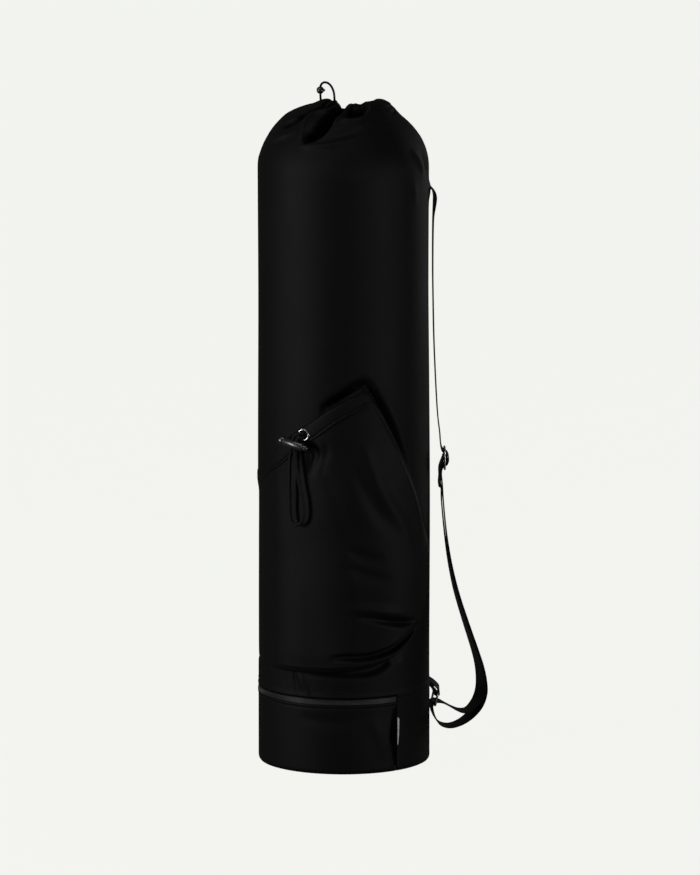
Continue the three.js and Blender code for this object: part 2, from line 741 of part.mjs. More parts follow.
// Strap: one webbing, in a plane through the bag's axis. Out is the distance from the bag's face.
function strapPlace(out, height) {
  return place(BODY_RADIUS + out, STRAP_TURN, height);
}

// Middle of the hanging strap, as shares of its reach and its drop, with the twist of its width in degrees
const UPPER_LEG = [
  { out: 0.011, down: 0.0, twist: 0 },
  { out: 0.05, down: -0.001, twist: 0 },
  { out: 0.098, down: 0.005, twist: 0 },
  { out: 0.128, down: 0.016, twist: 0 },
  { out: 0.122, down: 0.03, twist: -2 },
  { out: 0.1, down: 0.052, twist: -6 },
  { out: 0.09, down: 0.145, twist: -7 },
  { out: 0.098, down: 0.21, twist: -7 },
  { out: 0.112, down: 0.275, twist: -7 },
  { out: 0.146, down: 0.353, twist: -7 },
  { out: 0.19, down: 0.421, twist: -7 },
  { out: 0.225, down: 0.45, twist: -7 },
];
const DOUBLE_BAND = [
  { out: 0.262, down: 0.55, twist: -7 },
  { out: 0.282, down: 0.58, twist: -7 },
  { out: 0.337, down: 0.636, twist: -6 },
  { out: 0.42, down: 0.692, twist: -3 },
  { out: 0.545, down: 0.747, twist: 1 },
  { out: 0.695, down: 0.803, twist: 4 },
  { out: 0.866, down: 0.858, twist: 7 },
  { out: 0.941, down: 0.886, twist: 10 },
  { out: 0.987, down: 0.914, twist: 14 },
  { out: 0.985, down: 0.938, twist: 17 },
];
const OUTER_TURN = [
  { out: 0.93, down: 0.962, twist: 15 },
  { out: 0.77, down: 0.984, twist: 10 },
  { out: 0.58, down: 0.997, twist: 5 },
  { out: 0.39, down: 1.001, twist: 1 },
  { out: 0.22, down: 0.995, twist: 0 },
  { out: 0.1, down: 0.975, twist: 0 },
  { out: 0.062, down: 0.955, twist: 0 },
];
const INNER_RETURN = [
  { out: 0.39, down: 0.942, twist: -3 },
  { out: 0.58, down: 0.9595, twist: -3 },
  { out: 0.72, down: 0.9655, twist: 2 },
  { out: 0.86, down: 0.957, twist: 10 },
];

const strapDrop = STRAP_TOP_HEIGHT - RING_LOW_HEIGHT + STRAP_SAG;
const sliderHeight = STRAP_TOP_HEIGHT - strapDrop * SLIDER_DOWN;

function strapStation(row) {
  const height = STRAP_TOP_HEIGHT - strapDrop * row.down;
  return { at: strapPlace(STRAP_REACH * row.out, height), twist: row.twist };
}

// The layer of the doubled strap at a number of half steps from its middle
function strapLayer(rows, steps) {
  const stations = rows.map(strapStation);
  const pitch = (WEBBING + LAYER_GAP) / 2;
  return stations.map(({ at, twist }, i) => {
    const along = stations[Math.min(i + 1, rows.length - 1)].at.clone().sub(stations[Math.max(i - 1, 0)].at);
    const face = sideways(STRAP_TURN).cross(along).normalize();
    return { at: at.clone().addScaledVector(face, -steps * pitch), twist };
  });
}

// Places in the slider's frame: right is away from the bag and down is along the strap
function sliderPlace(right, down) {
  return { at: strapPlace(SLIDER_OUT + right, sliderHeight - down), twist: SLIDER_TWIST };
}

const barSide = SLIDER_BAR / 2 + SLIDING_GAP + WEBBING / 2;
const layerPitch = WEBBING + LAYER_GAP;
const runningWeave = [
  sliderPlace(-barSide - 1.6 * LAYER_GAP, -SLIDER_PITCH),
  sliderPlace(barSide * 0.75 + layerPitch * 0.5, -SLIDER_PITCH * 0.48),
  sliderPlace(barSide + layerPitch, 0),
  sliderPlace(barSide * 0.75 + layerPitch * 0.5, SLIDER_PITCH * 0.48),
  sliderPlace(-barSide - 1.6 * LAYER_GAP, SLIDER_PITCH),
];
const anchorLoop = [
  sliderPlace(-barSide - 2 * layerPitch, SLIDER_PITCH * 1.1),
  sliderPlace(-barSide * 1.5 - layerPitch * 0.6, SLIDER_PITCH * 0.55),
  sliderPlace(-barSide, 0),
  sliderPlace(-barSide * 0.7, -barSide * 0.7),
  sliderPlace(0, -barSide),
  sliderPlace(barSide * 0.7, -barSide * 0.7),
  sliderPlace(barSide, 0),
  sliderPlace(barSide * 0.15 - layerPitch * 0.1, SLIDER_PITCH * 0.5),
  sliderPlace(-barSide - layerPitch, SLIDER_PITCH * 1.02),
  sliderPlace(-barSide - layerPitch * 1.1, SLIDER_PITCH + TAIL_LENGTH),
];

// The ring's low bar, and the webbing's way over it
const ringSide = RING_WIRE / 2 + LAYER_GAP + WEBBING / 2;

function ringPlace(out, up) {
  return { at: strapPlace(RING_LOW_OUT + out, RING_LOW_HEIGHT + up), twist: 0 };
}

const overRing = [
  ringPlace(-ringSide, -2),
  ringPlace(-ringSide * 0.8, ringSide * 0.6),
  ringPlace(0, ringSide),
  ringPlace(ringSide * 1.2, ringSide * 0.75),
];
const tailBand = [
  sliderPlace(-barSide - 2.1 * layerPitch, SLIDER_PITCH + TAIL_LENGTH * 0.9),
  sliderPlace(-barSide - 2 * layerPitch, SLIDER_PITCH * 2),
];

function webbingBar(route, samples) {
  const line = new THREE.CatmullRomCurve3(route.map(({ at }) => at), false, 'centripetal');
  const twists = new THREE.CatmullRomCurve3(route.map(({ twist }, i) => new THREE.Vector3(twist, i, 0)));
  const count = (route.length - 1) * samples;
  const stations = Array.from({ length: count + 1 }, (_, i) => {
    const share = i / count;
    const along = line.getTangent(share);
    const across = sideways(STRAP_TURN + twists.getPoint(share).x);
    across.addScaledVector(along, -across.dot(along)).normalize();
    const face = along.clone().cross(across).normalize();
    return { at: line.getPoint(share), across, face };
  });
  return flatBar(stations, WEBBING_WIDTH, WEBBING);
}

const strapRoute = [
  ...UPPER_LEG.map(strapStation),
  ...runningWeave,
  ...strapLayer(DOUBLE_BAND, 1),
  ...OUTER_TURN.map(strapStation),
  ...overRing,
  ...INNER_RETURN.map(strapStation),
  ...strapLayer(DOUBLE_BAND, -1).reverse(),
  ...tailBand,
  ...anchorLoop,
];
add('strap_webbing', webbingBar(strapRoute, 2), webbing());

// Strap slider: a flat steel frame with three bars
function roundBar(from, to, diameter, sides) {
  const path = new THREE.LineCurve3(new THREE.Vector3(...from), new THREE.Vector3(...to));
  const section = new THREE.Shape(Array.from({ length: sides }, (_, side) => {
    const angle = (2 * Math.PI * (side + 0.5)) / sides;
    return new THREE.Vector2(Math.cos(angle), Math.sin(angle)).multiplyScalar(diameter / 2);
  }));
  return new THREE.ExtrudeGeometry(section, { steps: 1, bevelEnabled: false, extrudePath: path });
}

function roundedFrame(width, height, diameter, sides) {
  const corner = diameter;
  const outline = [];
  for (const [signX, signZ, quarter] of [[1, 1, 0], [-1, 1, 1], [-1, -1, 2], [1, -1, 3]]) {
    for (const step of [0, 1 / 3, 2 / 3, 1]) {
      const angle = ((quarter + step) * Math.PI) / 2;
      outline.push(new THREE.Vector3(
        signX * (width / 2 - corner) + corner * Math.cos(angle),
        0,
        signZ * (height / 2 - corner) + corner * Math.sin(angle),
      ));
    }
  }
  const vertices = [];
  const triangles = [];
  const count = outline.length;
  outline.forEach((at, i) => {
    const along = outline[(i + 1) % count].clone().sub(outline[(i + count - 1) % count]).normalize();
    const face = new THREE.Vector3(0, 1, 0);
    const across = along.clone().cross(face);
    for (let side = 0; side < sides; side += 1) {
      const angle = (2 * Math.PI * side) / sides;
      vertices.push(at.clone()
        .addScaledVector(across, (Math.cos(angle) * diameter) / 2)
        .addScaledVector(face, (Math.sin(angle) * diameter) / 2));
    }
  });
  for (let i = 0; i < count; i += 1) {
    for (let side = 0; side < sides; side += 1) {
      const a = i * sides + side;
      const b = i * sides + ((side + 1) % sides);
      const c = ((i + 1) % count) * sides + ((side + 1) % sides);
      const d = ((i + 1) % count) * sides + side;
      triangles.push(a, b, c, a, c, d);
    }
  }
  return facedOut(geometryFrom(vertices, triangles));
}

// A steel fitting's frame on the strap: X goes along its bars, Y away from the bag, Z up
function strapFrame(out, height, lean, turn = STRAP_TURN) {
  const group = new THREE.Group();
  group.position.copy(strapPlace(out, height));
  const axes = new THREE.Matrix4().makeBasis(
    sideways(turn).negate(),
    outward(turn),
    new THREE.Vector3(0, 0, 1),
  );
  group.quaternion.setFromRotationMatrix(axes);
  group.rotateX(THREE.MathUtils.degToRad(lean));
  bag.add(group);
  return group;
}

const slotSpan = WEBBING_WIDTH + RING_SIDE_GAP;
const sliderFrameWidth = slotSpan + SLIDER_BAR;

function strapSlider() {
  const frame = roundedFrame(sliderFrameWidth, 2 * SLIDER_PITCH, SLIDER_BAR, 8);
  const bar = roundBar([-sliderFrameWidth / 2, 0, 0], [sliderFrameWidth / 2, 0, 0], SLIDER_BAR, 8);
  return joined(frame, bar);
}

add('strap_slider', strapSlider(), steel(), strapFrame(SLIDER_OUT, sliderHeight, 0, STRAP_TURN + SLIDER_TWIST));

// Ring: a rounded steel loop that hangs in a webbing tab from the band's top seam
const ringLean = THREE.MathUtils.degToRad(RING_LEAN);
const ringTopOut = RING_LOW_OUT + RING_HEIGHT * Math.sin(ringLean);
const ringTopHeight = RING_LOW_HEIGHT + RING_HEIGHT * Math.cos(ringLean);
const ringMiddleOut = (RING_LOW_OUT + ringTopOut) / 2;
const ringMiddleHeight = (RING_LOW_HEIGHT + ringTopHeight) / 2;
const ringLoop = roundedFrame(slotSpan + RING_WIRE, RING_HEIGHT, RING_WIRE, 8);
add('strap_ring', ringLoop, steel(), strapFrame(ringMiddleOut, ringMiddleHeight, -RING_LEAN));

// The tab's way out of the seam, round the ring's top bar and back, as shares of the bar's place
const TAB_ROUTE = [
  { out: 0.09, rise: 0.97 },
  { out: 0.45, rise: 0.84 },
  { out: 0.92, rise: 0.56 },
  { out: 1.28, rise: 0.25 },
  { out: 1.36, rise: -0.03 },
  { out: 1.2, rise: -0.21 },
  { out: 0.93, rise: -0.19 },
  { out: 0.6, rise: 0.03 },
  { out: 0.28, rise: 0.3 },
  { out: 0.1, rise: 0.46 },
];

function tabStation({ out, rise }) {
  return { at: strapPlace(ringTopOut * out, THREE.MathUtils.lerp(ringTopHeight, bandTop, rise)), twist: 0 };
}

add('ring_tab', webbingBar(TAB_ROUTE.map(tabStation), 3), webbing());

export default bag;
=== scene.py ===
# A tall drawstring yoga mat bag: a black cloth tube with a gathered top, a slanted drawcord pocket,
# a zipped bottom band and one webbing shoulder strap. Metres, +Z up, -Y is the side with the pocket.
import math

import bpy
from mathutils import Matrix, Vector, noise


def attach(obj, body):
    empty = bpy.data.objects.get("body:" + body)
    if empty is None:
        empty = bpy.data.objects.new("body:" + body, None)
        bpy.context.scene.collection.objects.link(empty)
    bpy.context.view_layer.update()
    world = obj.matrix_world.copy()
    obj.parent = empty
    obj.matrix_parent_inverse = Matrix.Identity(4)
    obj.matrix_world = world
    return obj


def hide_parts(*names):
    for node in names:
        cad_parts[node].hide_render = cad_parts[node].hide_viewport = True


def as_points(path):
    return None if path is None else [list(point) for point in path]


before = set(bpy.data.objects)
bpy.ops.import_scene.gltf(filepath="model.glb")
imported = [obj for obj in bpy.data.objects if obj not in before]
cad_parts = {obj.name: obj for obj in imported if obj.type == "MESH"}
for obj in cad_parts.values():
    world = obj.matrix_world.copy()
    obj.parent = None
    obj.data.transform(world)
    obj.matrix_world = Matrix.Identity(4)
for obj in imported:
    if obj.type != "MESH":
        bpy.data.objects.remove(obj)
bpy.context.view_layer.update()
MM = 0.001


# Studio
# A plain pale room without edges: a wide floor as pale as the air around it, a tall soft light at each side,
# a wide one above and a weak one behind. The camera looks a little down from far away.
VIEW_MIDDLE = Vector((0.007, 0, 0.3455))
VIEW_LIFT = math.radians(10.5)
VIEW_FAR = 12
VIEW_HEIGHT = 0.924
SENSOR = 24
PALE = (0.888, 0.896, 0.855, 1)

bpy.ops.object.select_all(action="DESELECT")
away = Vector((0, -math.cos(VIEW_LIFT), math.sin(VIEW_LIFT)))
bpy.ops.object.camera_add(
    location=VIEW_MIDDLE + away * VIEW_FAR,
    rotation=(math.pi / 2 - VIEW_LIFT, 0, 0),
)
camera = bpy.context.object
camera.data.sensor_fit = "VERTICAL"
camera.data.sensor_height = SENSOR
camera.data.lens = SENSOR * VIEW_FAR / VIEW_HEIGHT
camera.data.clip_end = 100
bpy.context.scene.camera = camera
bpy.context.scene.view_settings.view_transform = "Standard"


def soft_light(name, place, aim, width, height, power):
    """A tall or wide soft light that faces a point."""
    bpy.ops.object.light_add(type="AREA", location=place)
    light = bpy.context.object
    light.name = name
    light.rotation_euler = (Vector(aim) - Vector(place)).to_track_quat("-Z", "Y").to_euler()
    light.data.shape = "RECTANGLE"
    light.data.size = width
    light.data.size_y = height
    light.data.energy = power
    return light


soft_light("light_left", (-2.04, -0.95, 0.65), (0, 0, 0.35), 0.5, 1.3, 15)
soft_light("light_right", (1.75, -1.35, 0.4), (0, 0, 0.3), 0.35, 0.9, 9)
soft_light("light_top", (-0.5, -0.7, 2.3), (0, 0, 0.6), 1.2, 0.8, 5)
soft_light("light_back", (1.5, 1.6, 0.6), (0, 0, 0.35), 0.5, 1.2, 2)


class Tone:
    """One output of a material's nodes. Sums of tones and numbers add the nodes that work them out."""

    def __init__(self, tree, socket):
        self.tree = tree
        self.socket = socket

    def other(self, name):
        return Tone(self.tree, self.socket.node.outputs[name])

    def sum(self, kind, first, second=0.0):
        return node(self.tree, "Math", {"operation": kind}, {0: first, 1: second})

    def __add__(self, value):
        return self.sum("ADD", self, value)

    def __radd__(self, value):
        return self.sum("ADD", value, self)

    def __mul__(self, value):
        return self.sum("MULTIPLY", self, value)

    def __rmul__(self, value):
        return self.sum("MULTIPLY", value, self)


def node(tree, kind, settings=None, sockets=None):
    """Adds a node, sets it up, fills its sockets with numbers or tones, and gives its first output."""
    made = tree.nodes.new("ShaderNode" + kind)
    for key, value in (settings or {}).items():
        if key == "stops":
            ramp = made.color_ramp.elements
            while len(ramp) < len(value):
                ramp.new(0.5)
            for stop, (place, shade) in zip(ramp, value):
                stop.position = place
                stop.color = (shade, shade, shade, 1)
        else:
            setattr(made, key, value)
    for key, value in (sockets or {}).items():
        if isinstance(value, Tone):
            tree.links.new(value.socket, made.inputs[key])
        else:
            made.inputs[key].default_value = value
    return Tone(tree, made.outputs[0]) if made.outputs else made


def finish(name, surface):
    """A material whose surface is what the function makes on its tree."""
    material = bpy.data.materials.new(name)
    material.use_nodes = True
    tree = material.node_tree
    tree.nodes.clear()
    node(tree, "OutputMaterial", None, {"Surface": surface(tree)})
    return material


FLOOR_RADIUS = 30
FLOOR_GLOW = 0.96
GLOW = 1.04
AIR_LIGHT = 0.055


def pale_floor(tree):
    lit = node(tree, "BsdfDiffuse", None, {"Color": PALE})
    strength = node(tree, "LightPath") * (GLOW - AIR_LIGHT) + AIR_LIGHT
    glow = node(tree, "Emission", None, {"Color": PALE, "Strength": strength})
    return node(tree, "MixShader", None, {0: FLOOR_GLOW, 1: lit, 2: glow})


bpy.ops.mesh.primitive_circle_add(vertices=96, radius=FLOOR_RADIUS, fill_type="NGON")
floor = bpy.context.object
floor.name = "floor"
floor.data.materials.append(finish("pale_floor", pale_floor))

air = bpy.data.worlds.new("pale_air")
bpy.context.scene.world = air
air.use_nodes = True
strength = node(air.node_tree, "LightPath") * (1 - AIR_LIGHT) + AIR_LIGHT
backdrop = air.node_tree.nodes["Background"]
backdrop.inputs["Color"].default_value = PALE
air.node_tree.links.new(strength.socket, backdrop.inputs["Strength"])


# Pocket drawcord
# A round braided cord, 3.8 mm thick: both its ends go into the pocket through the grommet, and it hangs
# in a loop through the barrel lock.
BODY_RADIUS = 90 * MM
POCKET_CORD = 3.8 * MM
LOCK_PLACE = Vector((-54.065, -89.979, 355.5)) * MM
LOCK_TURN = math.radians(-31)
LOCK_TILT = math.radians(12)
POCKET_CORD_ROUTE = [
    (8.7, 8, 13.5), (8.6, 5.2, 13.6), (8.1, 2.6, 13.5), (6.2, 0.4, 12.8), (3.0, -0.3, 11.0),
    (1.1, -0.1, 7.6), (0.7, 0, 4), (0.7, 0, -5), (1.2, 0.2, -16), (3.4, 0.4, -30),
    (6.6, 0.5, -46), (9.8, 0.5, -60), (13, 0.4, -73), (17, 0.3, -81.3), (22.4, 0.2, -83.6),
    (27.6, 0.2, -79.8), (29.2, 0.3, -71.6), (26, 0.4, -58), (18.8, 0.4, -42), (12, 0.2, -26),
    (7.2, 0, -13), (4.9, 0, -5), (4.7, 0, 3), (5.4, 0.1, 6.6), (6.9, 0.9, 8.3),
    (8.2, 2.6, 9.1), (8.7, 5.2, 9.4), (8.7, 8, 9.5),
]
lock_frame = (
    Matrix.Translation(LOCK_PLACE)
    @ Matrix.Rotation(LOCK_TURN, 4, "Z")
    @ Matrix.Rotation(LOCK_TILT, 4, "Y")
)


def smooth_line(points):
    """A smooth curve through points: gives the place at a share of the way from the first to the last."""
    knots = [Vector(point) for point in points]
    knots = [2 * knots[0] - knots[1], *knots, 2 * knots[-1] - knots[-2]]
    spans = len(points) - 1

    def at(share):
        row = max(0, min(int(share * spans), spans - 1))
        part = share * spans - row
        a, b, c, d = knots[row:row + 4]
        ab, bc, cd = (max((q - p).length, 1e-9) ** 0.5 for p, q in ((a, b), (b, c), (c, d)))
        leave = ((b - a) / ab - (c - a) / (ab + bc) + (c - b) / bc) * bc
        reach = ((c - b) / bc - (d - b) / (bc + cd) + (d - c) / cd) * bc
        bend = -3 * b + 3 * c - 2 * leave - reach
        return b + leave * part + bend * part ** 2 + (2 * b - 2 * c + leave + reach) * part ** 3

    return at


def even_places(line, step, fine=4000):
    """Places along a smooth line, one step apart."""
    dense = [line(i / fine) for i in range(fine + 1)]
    travelled = [0.0]
    for a, b in zip(dense, dense[1:]):
        travelled.append(travelled[-1] + (b - a).length)
    count = max(2, round(travelled[-1] / step))
    places = []
    row = 0
    for i in range(count + 1):
        goal = travelled[-1] * i / count
        while row < fine - 1 and travelled[row + 1] < goal:
            row += 1
        part = (goal - travelled[row]) / max(travelled[row + 1] - travelled[row], 1e-12)
        places.append(dense[row].lerp(dense[row + 1], min(max(part, 0), 1)))
    return places


BRAID_SIDES = 24
BRAID_STRANDS = 6
BRAID_LAY = 2.6
BRAID_RELIEF = 0.075


def braided_cord(name, route, diameter):
    """A round cord with a raised braid along a route. Gives the piece and its centre line."""
    step = diameter * 0.11
    centre = even_places(smooth_line(route), step)
    side = (centre[1] - centre[0]).orthogonal().normalized()
    vertices = []
    for i, place in enumerate(centre):
        along = (centre[min(i + 1, len(centre) - 1)] - centre[max(i - 1, 0)]).normalized()
        side = (side - along * side.dot(along)).normalized()
        up = along.cross(side)
        lay = 2 * math.pi * i * step / (diameter * BRAID_LAY)
        for j in range(BRAID_SIDES):
            angle = 2 * math.pi * j / BRAID_SIDES
            one = math.cos(BRAID_STRANDS / 2 * angle + lay * BRAID_STRANDS / 2)
            two = math.cos(BRAID_STRANDS / 2 * angle - lay * BRAID_STRANDS / 2)
            radius = diameter / 2 * (1 - BRAID_RELIEF * (1 - max(abs(one), abs(two)) ** 2) * 2)
            vertices.append(place + (side * math.cos(angle) + up * math.sin(angle)) * radius)
    faces = []
    for i in range(len(centre) - 1):
        for j in range(BRAID_SIDES):
            k = (j + 1) % BRAID_SIDES
            row = i * BRAID_SIDES
            faces.append((row + j, row + k, row + BRAID_SIDES + k, row + BRAID_SIDES + j))
    faces.append(tuple(reversed(range(BRAID_SIDES))))
    last = (len(centre) - 1) * BRAID_SIDES
    faces.append(tuple(range(last, last + BRAID_SIDES)))
    mesh = bpy.data.meshes.new(name)
    mesh.from_pydata(vertices, [], faces)
    mesh.shade_smooth()
    piece = bpy.data.objects.new(name, mesh)
    bpy.context.scene.collection.objects.link(piece)
    return piece, centre


def cord_fibre(tree):
    """Black polyester braid with a soft sheen on its strands."""
    place = node(tree, "TexCoord").other("Object")
    fluff = node(tree, "TexNoise", None, {"Vector": place, "Scale": 2600, "Detail": 3})
    wear = node(tree, "TexNoise", None, {"Vector": place, "Scale": 90, "Detail": 2})
    mixed = fluff * 0.6 + wear * 0.4
    shade = node(tree, "ValToRGB", {"stops": [(0.3, 0.0055), (0.75, 0.013)]}, {"Fac": mixed})
    bump = node(tree, "Bump", None, {"Height": fluff, "Strength": 0.35, "Distance": 0.00015})
    return node(tree, "BsdfPrincipled", None, {
        "Base Color": shade, "Roughness": 0.5 + wear * 0.2, "Normal": bump,
        "Specular IOR Level": 0.2,
    })


cord_finish = finish("braided_cord", cord_fibre)
route = [lock_frame @ (Vector(point) * MM) for point in POCKET_CORD_ROUTE]
pocket_cord, centre = braided_cord("pocket_drawcord", route, POCKET_CORD)
pocket_cord.data.materials.append(cord_finish)
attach(pocket_cord, "bag")
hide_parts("pocket_cord")
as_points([tuple(p) for p in centre[::6]] + [tuple(centre[-1])])


# Top drawcord
# A thinner braided cord from inside the gathered mouth: a small loop of it stands out of the gathers and
# carries a ball stopper.
TOP_CORD = 2.4 * MM
TOP_CORD_ROUTE = [
    (-9.7, -6, 697.6), (-9.4, -6, 701), (-9.3, -6, 707), (-9.6, -6, 712.4), (-10.6, -6, 717),
    (-12.8, -6, 721.6), (-16.2, -6, 724.9), (-20.2, -6, 725.6), (-23.2, -6, 723.4),
    (-24.2, -6, 719.8), (-24.2, -6, 716), (-24.0, -6, 711), (-23.6, -6, 704.35),
]
route = [Vector(point) * MM for point in TOP_CORD_ROUTE]
top_cord, centre = braided_cord("top_drawcord", route, TOP_CORD)
top_cord.data.materials.append(cord_finish)
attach(top_cord, "bag")
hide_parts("top_cord")
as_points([tuple(p) for p in centre[::4]] + [tuple(centre[-1])])


# Bag body and gathered mouth
# One tube of matte black nylon, closed into a dome over the mat and drawn together at the top, where the
# cloth falls into deep folds. The mouth is the end of the same cloth, turned in over the drawcord.
CLOTH = 1.6 * MM
SHOULDER_HEIGHT = 634.5 * MM
DOME_RISE = 75 * MM
NECK_RADIUS = 42 * MM
MOUTH_RADIUS = 16.5 * MM
CROWN_RISE = 7 * MM
GATHER_SHIFT = 10 * MM
GATHER_SINK = 11 * MM
SINK_SIDE = (-46 * MM, -16 * MM)
BAND_TOP = 83 * MM
BODY_COLUMNS = 264
FRONT_CLOSER = 0.38
DOME_ROWS = 74
MOUTH_ROWS = 24
NECK_ANGLE = math.acos(NECK_RADIUS / BODY_RADIUS)
NECK_HEIGHT = SHOULDER_HEIGHT + DOME_RISE * math.sin(NECK_ANGLE)
MOUTH_LINE = [(0, 0), (0.2, 0.55), (0.42, 0.92), (0.62, 1), (0.8, 0.7), (0.93, -0.3), (1, -1.2), (1, -2.4)]

# Heights in mm where the tube's rows of cloth get closer or wider, with the step between them
TUBE_STEPS = [(83, 1.2), (86.6, 2.4), (118, 13), (287, 4.4), (430, 7), (634.5, 0)]

# Folds, dents and welts of the cloth: how sharp the left and the right side is, then turn from the front,
# way up the cloth from the ground, depth (a welt's is negative) and half width in mm
TUBE_CREASES = [
    (3, 4, [(-33, 675, 0, 4), (-28, 681, 18, 5.4), (-23, 687, 24, 6.2), (-20, 697, 28, 7),
            (-19.3, 706, 29, 7),
            (-19.5, 716, 28, 6.2), (-19.5, 726, 24, 5.2), (-19, 734, 14, 4.5), (-19, 750, 4, 4)]),
    (4, 4, [(-65, 688, 0, 3), (-60, 693, 16, 4.6), (-54, 701, 22, 4.6), (-54, 711, 22, 4.2),
            (-57, 722, 20, 4),
            (-60, 732, 12, 3.4), (-63, 742, 6, 3), (-66, 756, 2, 3)]),
    (3, 3, [(-50, 710, 0, 2), (-47, 717, 14, 3), (-43, 726, 16, 2.9), (-38, 735, 10, 2.6),
            (-36, 750, 3, 3)]),
    (4, 4, [(10.5, 708, 0, 6), (9.5, 713, 18, 7.2), (8, 721, 28, 8), (8.5, 729, 29, 7.8),
            (10, 736, 20, 6.5),
            (11, 745, 3, 5)]),
    (2, 2, [(-86, 646, 0, 14), (-88, 664, 3.4, 14), (-90, 680, 2.6, 13), (-94, 698, 0, 10)]),
    (2, 2, [(86, 90, -1.4, 26), (86, 250, -1.3, 26), (86, 400, -0.6, 26), (86, 500, 0, 26)]),
    (2, 2, [(-37, 677, 0, 3), (-38, 688, -3, 3.5), (-42, 702, -4, 3.5), (-43, 712, -4, 3),
            (-33, 722, -2.4, 2.6),
            (-29, 734, 0, 3)]),
    (2, 2, [(-15, 700, 0, 3), (-10, 704, -3, 3), (-6, 710, -3.2, 2.6), (-6, 720, -3, 2.4),
            (-5, 731, -2.6, 2.4),
            (-4, 742, 0, 3)]),
    (2, 2, [(-6, 706, 0, 2.2), (1, 705, -2.8, 2.6), (9, 704, -3.2, 2.8), (17, 708, -3.2, 2.6),
            (21, 716, -3, 2.4),
            (24, 727, -2.4, 2.4), (31, 737, 0, 3)]),
    (2, 2, [(-36, 671, 0, 3), (-27, 670, -2.4, 3.4), (-14, 671, -2.8, 3.4), (-2, 675, -2.6, 3.2),
            (10, 680, -2, 3),
            (22, 687, -1.4, 2.8), (32, 694, 0, 3)]),
    (2, 2, [(-18, 680, 0, 5), (-6, 684, 2, 6), (6, 689, 2, 6), (18, 695, 0, 5)]),
    (2, 3, [(26, 723, 0, 3), (40, 724, 2, 2.6), (56, 719, 2.6, 2.6), (69, 711, 2.8, 2.8), (80, 711, 0, 3)]),
    (2, 2, [(-76, 662, 0, 3), (-66, 670, -2, 3.5), (-55, 678, -2.2, 3.5), (-42, 687, 0, 3)]),
    (2, 2, [(-40, 740, -2, 4), (-31, 742, 3, 4), (-22, 741, -1, 4), (-12, 742, 3, 4), (-4, 742, -2, 4)]),
    (2, 2, [(2, 743, 0, 3), (10, 748, -8, 5), (18, 743, 0, 3)]),
    (3, 3, [(-36, 109, 0, 3), (-14, 109, 4, 3.4), (6, 110, 6, 4.2), (20, 112, 7, 5), (31, 119, 6, 4.6),
            (42, 136, 4, 4), (50, 156, 0, 3)]),
    (2, 2, [(96, 668, 0, 5), (100, 690, 8, 6), (104, 712, 12, 6), (108, 732, 12, 5), (112, 752, 4, 4)]),
    (4, 4, [(142, 652, 0, 5), (140, 672, 9, 7), (138, 700, 14, 7), (138, 726, 14, 6), (138, 750, 5, 4)]),
    (3, 3, [(180, 672, 0, 5), (176, 692, 9, 6), (172, 712, 13, 6), (170, 732, 11, 5), (170, 752, 4, 4)]),
    (4, 4, [(203, 650, 0, 5), (206, 676, 11, 7), (206, 704, 15, 7), (204, 730, 12, 6), (204, 752, 4, 4)]),
    (3, 3, [(242, 676, 0, 5), (238, 696, 8, 6), (236, 716, 12, 6), (236, 734, 11, 5), (236, 752, 4, 4)]),
    (3, 3, [(262, 660, 0, 5), (264, 684, 9, 6), (266, 708, 13, 6), (268, 732, 12, 5), (268, 752, 4, 4)]),
    (2, 2, [(56, 662, 0, 4), (61, 654, -1.8, 4), (65, 642, -2, 4), (69, 628, 0, 4)]),
    (2, 2, [(70, 664, 0, 5), (74, 648, 2.2, 5), (78, 634, 2.4, 5), (84, 620, 2, 5), (92, 612, 0, 5)]),
    (2, 2, [(52, 624, 0, 4), (56, 616, -1.4, 4), (60, 604, 0, 4)]),
    (2, 2, [(84, 606, 0, 7), (92, 609, -2, 7), (97.6, 611, -3, 8), (103, 609, -2, 7), (111, 606, 0, 7)]),
    (3, 3, [(-16, 389, 0, 3), (-8, 397, 6, 4), (0, 405.5, 8, 4.5), (8, 414, 8, 4.5), (14, 416.5, 6, 4.5),
            (19, 409, 8, 4.2), (26.5, 389.5, 9, 4.5), (35.5, 363.5, 9, 4.8), (40, 348.5, 8, 4.5),
            (47, 327, 4, 3.5),
            (52, 311, 0, 3)]),
    (2, 2, [(-36, 113, 0, 2.5), (-34.6, 104, 1.8, 2.5), (-33, 90, 1.2, 2.5), (-32.4, 82, 0.8, 2.5)]),
    (2, 2, [(-32.5, 110, 0, 3), (-29, 99, -1.6, 3), (-25.6, 88, -1.2, 3), (-24.6, 82, -1, 3)]),
]
# The cloth of the tube lies flat under the pocket, pressed in by it: height in mm of that dent's upper edge
# by the turn from the front
DENT_TOP = [(-118, 284), (-108, 291), (-80, 309), (-61, 328), (-45, 341)]
DENT = 3
SHARES = 7


def bag_place(radius, turn, height):
    """A place by its distance from the bag's axis, its turn from the front in degrees, and its height."""
    angle = math.radians(turn)
    return Vector((radius * math.sin(angle), -radius * math.cos(angle), height))


def smooth(low, high, value):
    part = min(max((value - low) / (high - low), 0), 1)
    return part * part * (3 - 2 * part)


